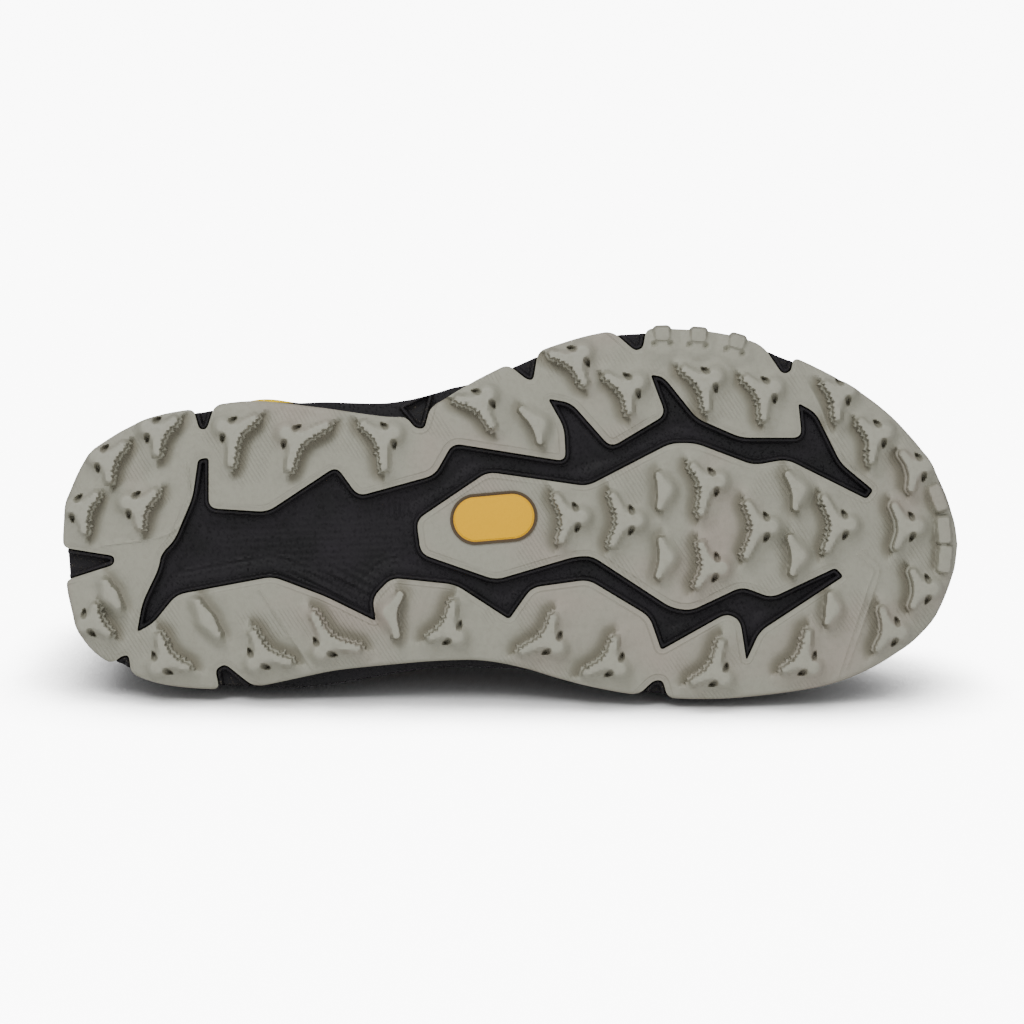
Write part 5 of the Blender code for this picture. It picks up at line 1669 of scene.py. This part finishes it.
@dataclass
class UpperSkin:
    """The hollow mesh upper from the sole to the collar and the throat."""

    tailor: Tailor
    columns: int = 320
    rows: int = 44

    def build(self) -> Object:
        """The whole ring as one thickened sheet."""
        ring = np.linspace(0, len(self.tailor.form.points), self.columns + 1)
        bm = self.tailor.patch(ring, 0.0, 1.0, self.rows)
        piece = self.tailor.shop.piece("upper", bm, MeshFinish().make(), "upper_mesh", ["upper"], 60)
        self.tailor.thicken(piece, LAST.wall, -1, 0.6 * MM)
        return piece


@dataclass
class Overlays:
    """Film over the toe, the heel and both edges of the throat."""

    tailor: Tailor
    cap_start: float = 0.80
    cap_height: float = 0.62
    counter_end: float = 0.19
    counter_height: float = 0.62
    tail: float = 0.30
    foot: float = 0.17
    stay_foot: float = 0.76
    stay_from: float = 0.4375
    stay_to: float = 0.668
    eyelet_height: float = 0.88
    eyelet_radius: float = 2.2 * MM
    eyelets: int = 6
    eyelet_from: float = 0.65625
    eyelet_run: float = 0.21875
    edge: float = 0.35 * MM

    def eyelet_share(self, row: float) -> float:
        """How far along the side a row of eyelets lies, the lowest row first."""
        return self.eyelet_from - self.eyelet_run * (row + 0.25) / (self.eyelets - 0.5)

    def _shape(self, first: float, last: float, count: int, top: Array, power: float) -> tuple:
        """Columns with the lower and upper height of a band whose ends are round."""
        columns = np.linspace(first, last, count)
        keep = self.tailor.rounded_ends(count, power)
        middle, half = (top + self.foot) / 2, (top - self.foot) / 2
        return columns, middle - half * keep, middle + half * keep

    def _band(self, name: str, node: str, first: float, last: float, top: Array) -> None:
        """One overlay from foot to top.

        Args:
            name: its name.
            node: the node that it stands for.
            first: the ring column of one end.
            last: the ring column of the other.
            top: its upper height at each column.
        """
        columns, low, high = self._shape(first, last, len(top), top, 14)
        bm = self.tailor.patch(columns, low, high, 22, LAST.overlay_gap)
        piece = self.tailor.shop.piece(name, bm, FilmFinish(name).make(), "overlay_film", [node], 50)
        self.tailor.thicken(piece, LAST.overlay, 1, self.edge)

    def toe_and_heel(self) -> None:
        """The rand round the toe and the cup round the heel."""
        stations = self.tailor.form.edge.stations
        t = abs(np.linspace(-1, 1, 141))
        reach = stations * (1 - self.cap_start)
        top = self.tail + (self.cap_height - self.tail) * np.cos(t * math.pi / 2) ** 1.4
        self._band("toe_cap", "toe_cap", -reach, reach, top)
        top = self.tail + (self.counter_height - self.tail) * np.cos(t * math.pi / 2) ** 0.8
        self._band("heel_counter", "heel_counter", stations * (1 - self.counter_end),
                   stations * (1 + self.counter_end), top)

    def eyestay(self, side: Side) -> None:
        """Reinforcement along one edge of the throat, scalloped, with punched and rimmed eyelets.

        Args:
            side: which edge.
        """
        form, shop = self.tailor.form, self.tailor.shop
        name = "eyestay_outer" if side is Side.OUTER else "eyestay_inner"
        share = np.linspace(self.stay_from, self.stay_to, 121)
        keep = self.tailor.rounded_ends(121, 30)
        row = (self.eyelet_from - share) / self.eyelet_run * (self.eyelets - 0.5) - 0.25
        low = self.stay_foot + 0.014 - 0.014 * np.cos(2 * math.pi * row)
        middle, half = (0.995 + low) / 2, (0.995 - low) / 2
        columns = form.column(share, side)
        order = np.argsort(columns)
        low, high = middle - half * keep, middle + half * keep
        bm = self.tailor.patch(columns[order], low[order], high[order], 14, LAST.overlay_gap)
        piece = shop.piece(name, bm, FilmFinish(name).make(), "overlay_film", [name], 50)
        self.tailor.solidify(piece, LAST.overlay, 1)
        punch, rims = bmesh.new(), bmesh.new()
        for k in range(self.eyelets):
            turn = self.frame_at(k, side)
            bmesh.ops.create_cone(punch, cap_ends=True, segments=28, radius1=self.eyelet_radius,
                                  radius2=self.eyelet_radius, depth=6 * LAST.overlay, matrix=turn)
            self._rim(rims, turn)
        punch.transform(shop.matrix)
        tool = shown("punch", mesh_of("punch", punch))
        cut = piece.modifiers.new("punched", "BOOLEAN")
        cut.operation, cut.solver, cut.object = "DIFFERENCE", "EXACT", tool
        shop.settle(piece)
        bpy.data.objects.remove(tool, do_unlink=True)
        self.tailor.round_edges(piece, 0.3 * MM, 2)
        ring = "eyelet_rims_outer" if side is Side.OUTER else "eyelet_rims_inner"
        shop.piece(ring, rims, FilmFinish(ring, 0.3).make(), "overlay_film", sharp=60)

    def frame_at(self, row: float, side: Side) -> Matrix:
        """Axes at an eyelet: its middle on the stay's face, with Z out of the skin."""
        column = self.tailor.form.column(self.eyelet_share(row), side)
        base, above = (Vector(self.tailor.skin(column, self.eyelet_height, lift))
                       for lift in (LAST.overlay_gap + LAST.overlay, 2 * LAST.overlay_gap + 2 * LAST.overlay))
        turn = (above - base).to_track_quat("Z", "Y").to_matrix().to_4x4()
        return Matrix.Translation(base) @ turn

    def _rim(self, bm: BMesh, place: Matrix) -> None:
        """A moulded ring round an eyelet, spun from a small circle."""
        out = Matrix.Translation((self.eyelet_radius + 0.35 * MM, 0, 0))
        start = out @ Matrix.Rotation(math.pi / 2, 4, "X")
        made = bmesh.ops.create_circle(bm, segments=8, radius=0.5 * MM, matrix=place @ start)
        edges = list(dict.fromkeys(e for v in made["verts"] for e in v.link_edges))
        axis = place.to_3x3() @ Vector((0, 0, 1))
        bmesh.ops.spin(bm, geom=made["verts"] + edges, cent=place.translation, axis=axis, steps=28,
                       angle=2 * math.pi, use_merge=True, space=Matrix.Identity(4))


@dataclass
class Tongue:
    """Padded tongue under the throat, quilted, with a rounded top."""

    tailor: Tailor
    thick: float = 4.5 * MM
    reach: float = 21 * MM
    crown: float = 0.16
    start: float = 0.76
    foot: float = 0.78
    narrow: float = 0.88
    flare: float = 3.0 * MM
    round: float = 3.2 * MM
    quilt: float = 0.9 * MM
    channel: float = 11 * MM

    def _line(self, share: float) -> Array:
        """Places across the tongue at a share of the side, bowed between the throat's edges."""
        form = self.tailor.form
        lift = -(LAST.wall + LAST.clearance + 0.2 * MM)
        hidden = float(ramp(0.60, 0.70, share))
        top = 1.0 - 0.10 * hidden
        heights = np.array((self.foot, (self.foot + top) / 2, top))
        left = form.at(form.column(share, Side.OUTER), heights, lift)
        right = form.at(form.column(share, Side.INNER), heights[::-1], lift)
        gap = right[0] - left[-1]
        crown = self.crown * (1 - 0.6 * hidden) * np.linalg.norm(gap)
        between = [left[-1] + gap * t + np.array((0, 0, 4 * crown * t * (1 - t))) for t in (0.25, 0.5, 0.75)]
        return np.vstack((left, between, right))

    def _outside(self) -> Array:
        """The tongue's outer face by row, from its hidden foot, and by column."""
        rows = [smooth_path(self._line(share), 5) for share in np.linspace(self.start, THROAT_TOP, 56)]
        middle = rows[-1].shape[0] // 2
        arch = smooth_path(self._line(THROAT_TOP)[2:7], 10)
        run = arch[middle] - rows[-12][middle]
        run /= np.linalg.norm(run)
        out = np.cross(run, arch[-1] - arch[0])
        out *= np.sign(out[2]) / np.linalg.norm(out)
        for t in np.linspace(0.08, 1.0, 18):
            keep = math.sqrt(1 - (self.narrow * t) ** 4)
            shift = t * self.reach * run + self.flare * t * t * out
            rows.append(arch[middle] + (arch - arch[middle]) * np.array((1, keep, keep)) + shift)
        return np.array(rows)

    def build(self) -> Object:
        """The tongue as one closed pad."""
        face = self._outside()
        count = face.shape[1]
        out = unit(np.cross(np.gradient(face, axis=0), np.gradient(face, axis=1)))
        out *= np.sign(out[len(out) // 2, count // 2, 2])
        u, across = run_of(face[:, count // 2]), run_of(face, 1)
        margin = np.minimum(np.minimum(across, across[:, -1:] - across), (u[-1] - u)[:, None])
        edge = np.sqrt(1 - (1 - np.clip(margin / self.round, 0, 1)) ** 2)
        pads = abs(np.sin(math.pi * u / self.channel))[:, None] ** 0.5 * edge
        outer = face + out * (self.quilt * (pads - 0.6) - 0.5 * self.thick * (1 - edge))[..., None]
        inner = face - out * (self.thick * (0.5 + 0.5 * edge))[..., None]
        points = np.concatenate((outer, inner[:, ::-1], outer[:, :1]), axis=1)
        back, last = across[:, -1:] + 5 * MM + across, 2 * across[:, -1:] + 10 * MM
        around = np.concatenate((across, back, last), axis=1)
        uv = np.stack(np.broadcast_arrays(u[:, None], around), axis=2)
        bm = lofted(points, uv, 1e-5)
        sealed(bm)
        knit = KnitFinish("tongue").make()
        piece = self.tailor.shop.piece("tongue", bm, knit, "lining_knit", ["tongue"], 80)
        return piece


@dataclass
class Collar:
    """Soft roll inside the collar, from one side of the throat round the heel to the other."""

    tailor: Tailor
    foot: float = 0.56
    top: float = 0.985
    thick: float = 5.5 * MM

    def build(self) -> Object:
        """One closed pad, thickest under the rim and thin at its foot and ends."""
        form = self.tailor.form
        columns = form.edge.stations * np.linspace(1 - COLLAR_FRONT, 1 + COLLAR_FRONT, 161)
        ends = self.tailor.rounded_ends(161, 16)[:, None]
        rise = np.linspace(0, 1, 25)
        swell = np.sin(math.pi * np.clip(rise, 0, 1) ** 1.35)[None, :] ** 0.55
        foot = self.foot + 0.30 * abs(np.linspace(-1, 1, 161))[:, None] ** 7
        height = foot + (self.top - foot) * rise[None, :]
        gap = LAST.wall + LAST.clearance + 0.2 * MM
        outer = form.at(columns[:, None], height, -gap)
        quilt = 1 - 0.10 * bell(rise - 0.42, 0.05)[None, :]
        inner = form.at(columns[:, None], height, -gap - self.thick * swell * ends * quilt)
        points = np.concatenate((outer, inner[:, -2:0:-1], outer[:, :1]), axis=1)
        around = np.linspace(0, 75 * MM, points.shape[1])
        uv = np.stack(np.broadcast_arrays(run_of(inner[:, 12])[:, None], around[None, :]), axis=2)
        bm = lofted(points, uv, 2e-5)
        bmesh.ops.recalc_face_normals(bm, faces=bm.faces)
        knit = KnitFinish("collar").make()
        piece = self.tailor.shop.piece("collar_padding", bm, knit, "lining_knit", ["collar_padding"], 80)
        return piece


@dataclass
class Insole:
    """Removable insole, cupped at the heel."""

    tailor: Tailor
    thick: float = 4 * MM
    cup: float = 3 * MM

    def build(self) -> Object:
        """A sheet over the bed with its real thickness below."""
        form = self.tailor.form
        stations = form.edge.stations
        step = np.arange(0, stations + 1)
        lift = -(LAST.wall + 2 * LAST.clearance)
        outer, inner = (form.at(stations + way * step, 0.0, lift) for way in (-1, 1))
        share = np.linspace(0, 1, 25)[None, :, None]
        points = outer[:, None] + (inner - outer)[:, None] * share
        across = abs(2 * share[..., 0] - 1)
        x = points[..., 0]
        cup = self.cup * across ** 4 * (1 - np.minimum(x / LAST.length, 1) ** 2)
        cup[0] = cup[-1] = self.cup * (1 - np.minimum(x[0] / LAST.length, 1) ** 2)
        points[..., 2] = bed(x) + LAST.clearance + self.thick + cup
        bm = lofted(points, points[..., :2].copy(), 1e-5)
        bmesh.ops.recalc_face_normals(bm, faces=bm.faces)
        bm.faces.ensure_lookup_table()
        if bm.faces[len(bm.faces) // 2].normal.z < 0:
            bmesh.ops.reverse_faces(bm, faces=bm.faces)
        piece = self.tailor.shop.piece("insole", bm, InsoleFinish().make(), "insole_foam", ["insole"], 60)
        self.tailor.thicken(piece, self.thick, -1, 0.8 * MM)
        return piece


@dataclass
class Laces:
    """Flat lace: a bar at the foot of the throat, then crossings up to the top eyelets."""

    tailor: Tailor
    overlays: Overlays
    width: float = 6.2 * MM
    thick: float = 1.6 * MM
    pinch: float = 3.3 * MM
    arch: float = 4.3 * MM

    def _point(self, side: Side, row: float, height: float, lift: float) -> Array:
        """A place over an eyestay by its row of eyelets."""
        column = self.tailor.form.column(self.overlays.eyelet_share(row), side)
        return self.tailor.skin(column, height, lift)

    def _over(self, side: Side, row: float, turn: float) -> list[tuple[Array, float]]:
        """Places and widths from inside an eyelet over the stay to the throat's edge.

        Args:
            side: which stay.
            row: its row of eyelets.
            turn: rows that the run gains up to the edge.

        Returns:
            Pairs of a place and a width.
        """
        ride = LAST.overlay_gap + LAST.overlay + 0.75 * self.thick
        eye = self.overlays.eyelet_height
        return [(self._point(side, row, eye - 0.004, -0.2 * MM), self.pinch),
                (self._point(side, row, eye, ride - 0.5 * MM), 1.15 * self.pinch),
                (self._point(side, row + 0.15 * turn, eye + 0.025, ride + 0.2 * MM), 0.8 * self.width),
                (self._point(side, row + 0.5 * turn, 0.95, ride + 0.1 * MM), self.width),
                (self._point(side, row + turn, 1.0, ride), self.width)]

    def _under(self, side: Side, row: float, turn: float) -> list[tuple[Array, float]]:
        """Places and widths from hidden under the stay out to the throat's edge."""
        low = -(LAST.wall + 0.9 * self.thick)
        return [(self._point(side, row + 0.3 * turn, 0.93, low - 0.6 * MM), self.width),
                (self._point(side, row + 0.7 * turn, 0.975, low), self.width),
                (self._point(side, row + turn, 1.0, low + 0.5 * MM), self.width)]

    def _ends(self, side: Side, row: float, way: float, over: bool) -> list:
        """Places, widths and the throat's edge where a run leaves an eyelet or comes from under the stay."""
        rows = self._over(side, row, way) if over else self._under(side, row, way)
        edge = self._point(side, row + way, 1.0, 0.0)
        return [(*place, edge) for place in rows]

    def _strand(self, bm: BMesh, start: list, end: list, arch: float) -> None:
        """One run of lace between the throat's edges, from start's places to end's, reversed.

        Args:
            bm: takes the run.
            start: places, widths and the edge on one side.
            end: the same on the other.
            arch: how high the run stands over the tongue.
        """
        left, right = start[-1][0], end[-1][0]
        gap = right - left
        up = np.array((0, 0, 1.0))
        up = up - gap * (up @ gap) / (gap @ gap)
        up /= np.linalg.norm(up)
        base_left, base_right = start[-1][2], end[-1][2]
        middle = []
        for t in (0.3, 0.5, 0.7):
            over = up * arch * (1 - (2 * t - 1) ** 4 * 0.35)
            middle.append(((1 - t) * base_left + t * base_right + over, self.width))
        route = [(p[0], p[1]) for p in start] + middle + [(p[0], p[1]) for p in reversed(end)]
        path = smooth_path([(*place, width) for place, width in route], 7)
        spine, width = path[:, :3], path[:, 3]
        run = unit(np.gradient(spine, axis=0))
        side = unit(np.cross(run, self._ups(spine, up)))
        above = np.cross(side, run)
        angle = np.linspace(0, 2 * math.pi, 19)
        flat = np.sign(np.cos(angle)) * abs(np.cos(angle)) ** 0.8
        tall = np.sign(np.sin(angle)) * abs(np.sin(angle)) ** 0.8
        depth = self.thick * (1 + 0.75 * (1 - width / self.width))
        points = (spine[:, None] + side[:, None] * (width[:, None] / 2 * flat[None])[..., None]
                  + above[:, None] * (depth[:, None] / 2 * tall[None])[..., None])
        around = (angle / (2 * math.pi) * 14 * MM)[None]
        uv = np.stack(np.broadcast_arrays(run_of(spine)[:, None], around), axis=2)
        strip = lofted(points, uv, 1e-6)
        sealed(strip)
        mesh = mesh_of("strand", strip)
        bm.from_mesh(mesh)
        bpy.data.meshes.remove(mesh)

    @staticmethod
    def _ups(spine: Array, middle: Array) -> Array:
        """Out of the shoe along a strand: away from a line inside the foot, turning with the skin."""
        centre = spine.mean(axis=0) - 0.030 * middle
        away = spine - centre
        away[:, 0] = middle[0] * np.linalg.norm(away, axis=1)
        return unit(away)

    def build(self) -> Object:
        """All the visible runs of the lace as one piece."""
        bm = bmesh.new()
        last = self.overlays.eyelets - 1
        turn = 0.3
        foot = (self._ends(side, 0, 0, True) for side in Side)
        self._strand(bm, *foot, self.arch - self.thick)
        for k in range(last):
            for side, other, arch in ((Side.OUTER, Side.INNER, self.arch),
                                      (Side.INNER, Side.OUTER, self.arch - 1.1 * self.thick)):
                if k % 2:
                    arch = 2 * self.arch - 1.1 * self.thick - arch
                low, high = self._ends(side, k, turn, True), self._ends(other, k + 1, -turn, k + 1 == last)
                self._strand(bm, low, high, arch)
        return self.tailor.shop.piece("laces", bm, LaceFinish().make(), "lace_weave", ["laces"], 60)


@dataclass
class Studio:
    """Floor, soft lights and the camera that looks square onto the sole."""

    shop: Workshop
    lens: float = 150.0
    sensor: float = 36.0
    view_width: float = 0.329
    aim: tuple[float, float, float] = (0.145, -0.0106, 0.0)
    floor_size: float = 14.0
    surround: float = 0.5

    def camera(self) -> None:
        """Place the camera along the sole's own upright axis."""
        data = bpy.data.cameras.new("camera")
        data.lens, data.sensor_width = self.lens, self.sensor
        data.clip_end = 40
        made = shown("camera", data)
        away = self.view_width * self.lens / self.sensor
        axes = self.shop.matrix.to_3x3()
        right, up = axes @ Vector((1, 0, 0)), axes @ Vector((0, -1, 0))
        turn = Matrix((right, up, right.cross(up))).transposed().to_4x4()
        spot = self.shop.world(self.aim[0], self.aim[1], self.aim[2] - away)
        made.matrix_world = Matrix.Translation(spot) @ turn
        bpy.context.scene.camera = made

    def floor(self) -> None:
        """Lay a wide floor under the shoe."""
        bm = bmesh.new()
        bmesh.ops.create_grid(bm, x_segments=8, y_segments=8, size=self.floor_size / 2)
        mesh = mesh_of("floor", bm)
        mesh.materials.append(FloorFinish().make())
        made = shown("floor", mesh)

    def lights(self) -> None:
        """A white surround and two large soft boxes."""
        world = bpy.data.worlds.new("surround")
        world.use_nodes = True
        shade = world.node_tree.nodes["Background"]
        shade.inputs["Color"].default_value = (1, 1, 1, 1)
        shade.inputs["Strength"].default_value = self.surround
        bpy.context.scene.world = world
        for name, spot, size, power in (("key", (-0.5, -0.9, 1.5), 0.9, 17),
                                        ("fill", (0.9, -1.4, 0.7), 1.4, 4)):
            data = bpy.data.lights.new(name, "AREA")
            data.shape, data.size, data.energy = "SQUARE", size, power
            made = shown(name, data)
            made.location = spot
            made.rotation_euler = (Vector((0, 0, 0.06)) - Vector(spot)).to_track_quat("-Z", "Y").to_euler()


def main() -> None:
    """Build every sub-assembly in order around the frame."""
    logging.basicConfig(level=logging.INFO, format="%(name)s %(message)s")
    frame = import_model()
    shop = Workshop(frame["record"])
    studio = Studio(shop)
    studio.camera()
    studio.floor()
    studio.lights()
    openings = Openings()
    form = UpperForm(EDGE, 32)
    rubber = RubberFinish(tuple(-shop.matrix.col[2].xyz)).make()
    foam = FoamFinish().make()
    shop.piece("outsole", Outsole(openings).build(), rubber, "outsole_rubber", ["outsole"])
    shop.piece("midsole", Midsole(openings, form).build(), foam, "midsole_foam", ["midsole"])
    shop.piece("sole_inset", Plug().build(), PlugFinish().make(), "inset_yellow", ["sole_inset"])
    tailor = Tailor(shop, form)
    overlays = Overlays(tailor)
    UpperSkin(tailor).build()
    overlays.toe_and_heel()
    for side in Side:
        overlays.eyestay(side)
    Tongue(tailor).build()
    Collar(tailor).build()
    Insole(tailor).build()
    Laces(tailor, overlays).build()
    bpy.context.view_layer.update()


if __name__ == "__main__":
    main()
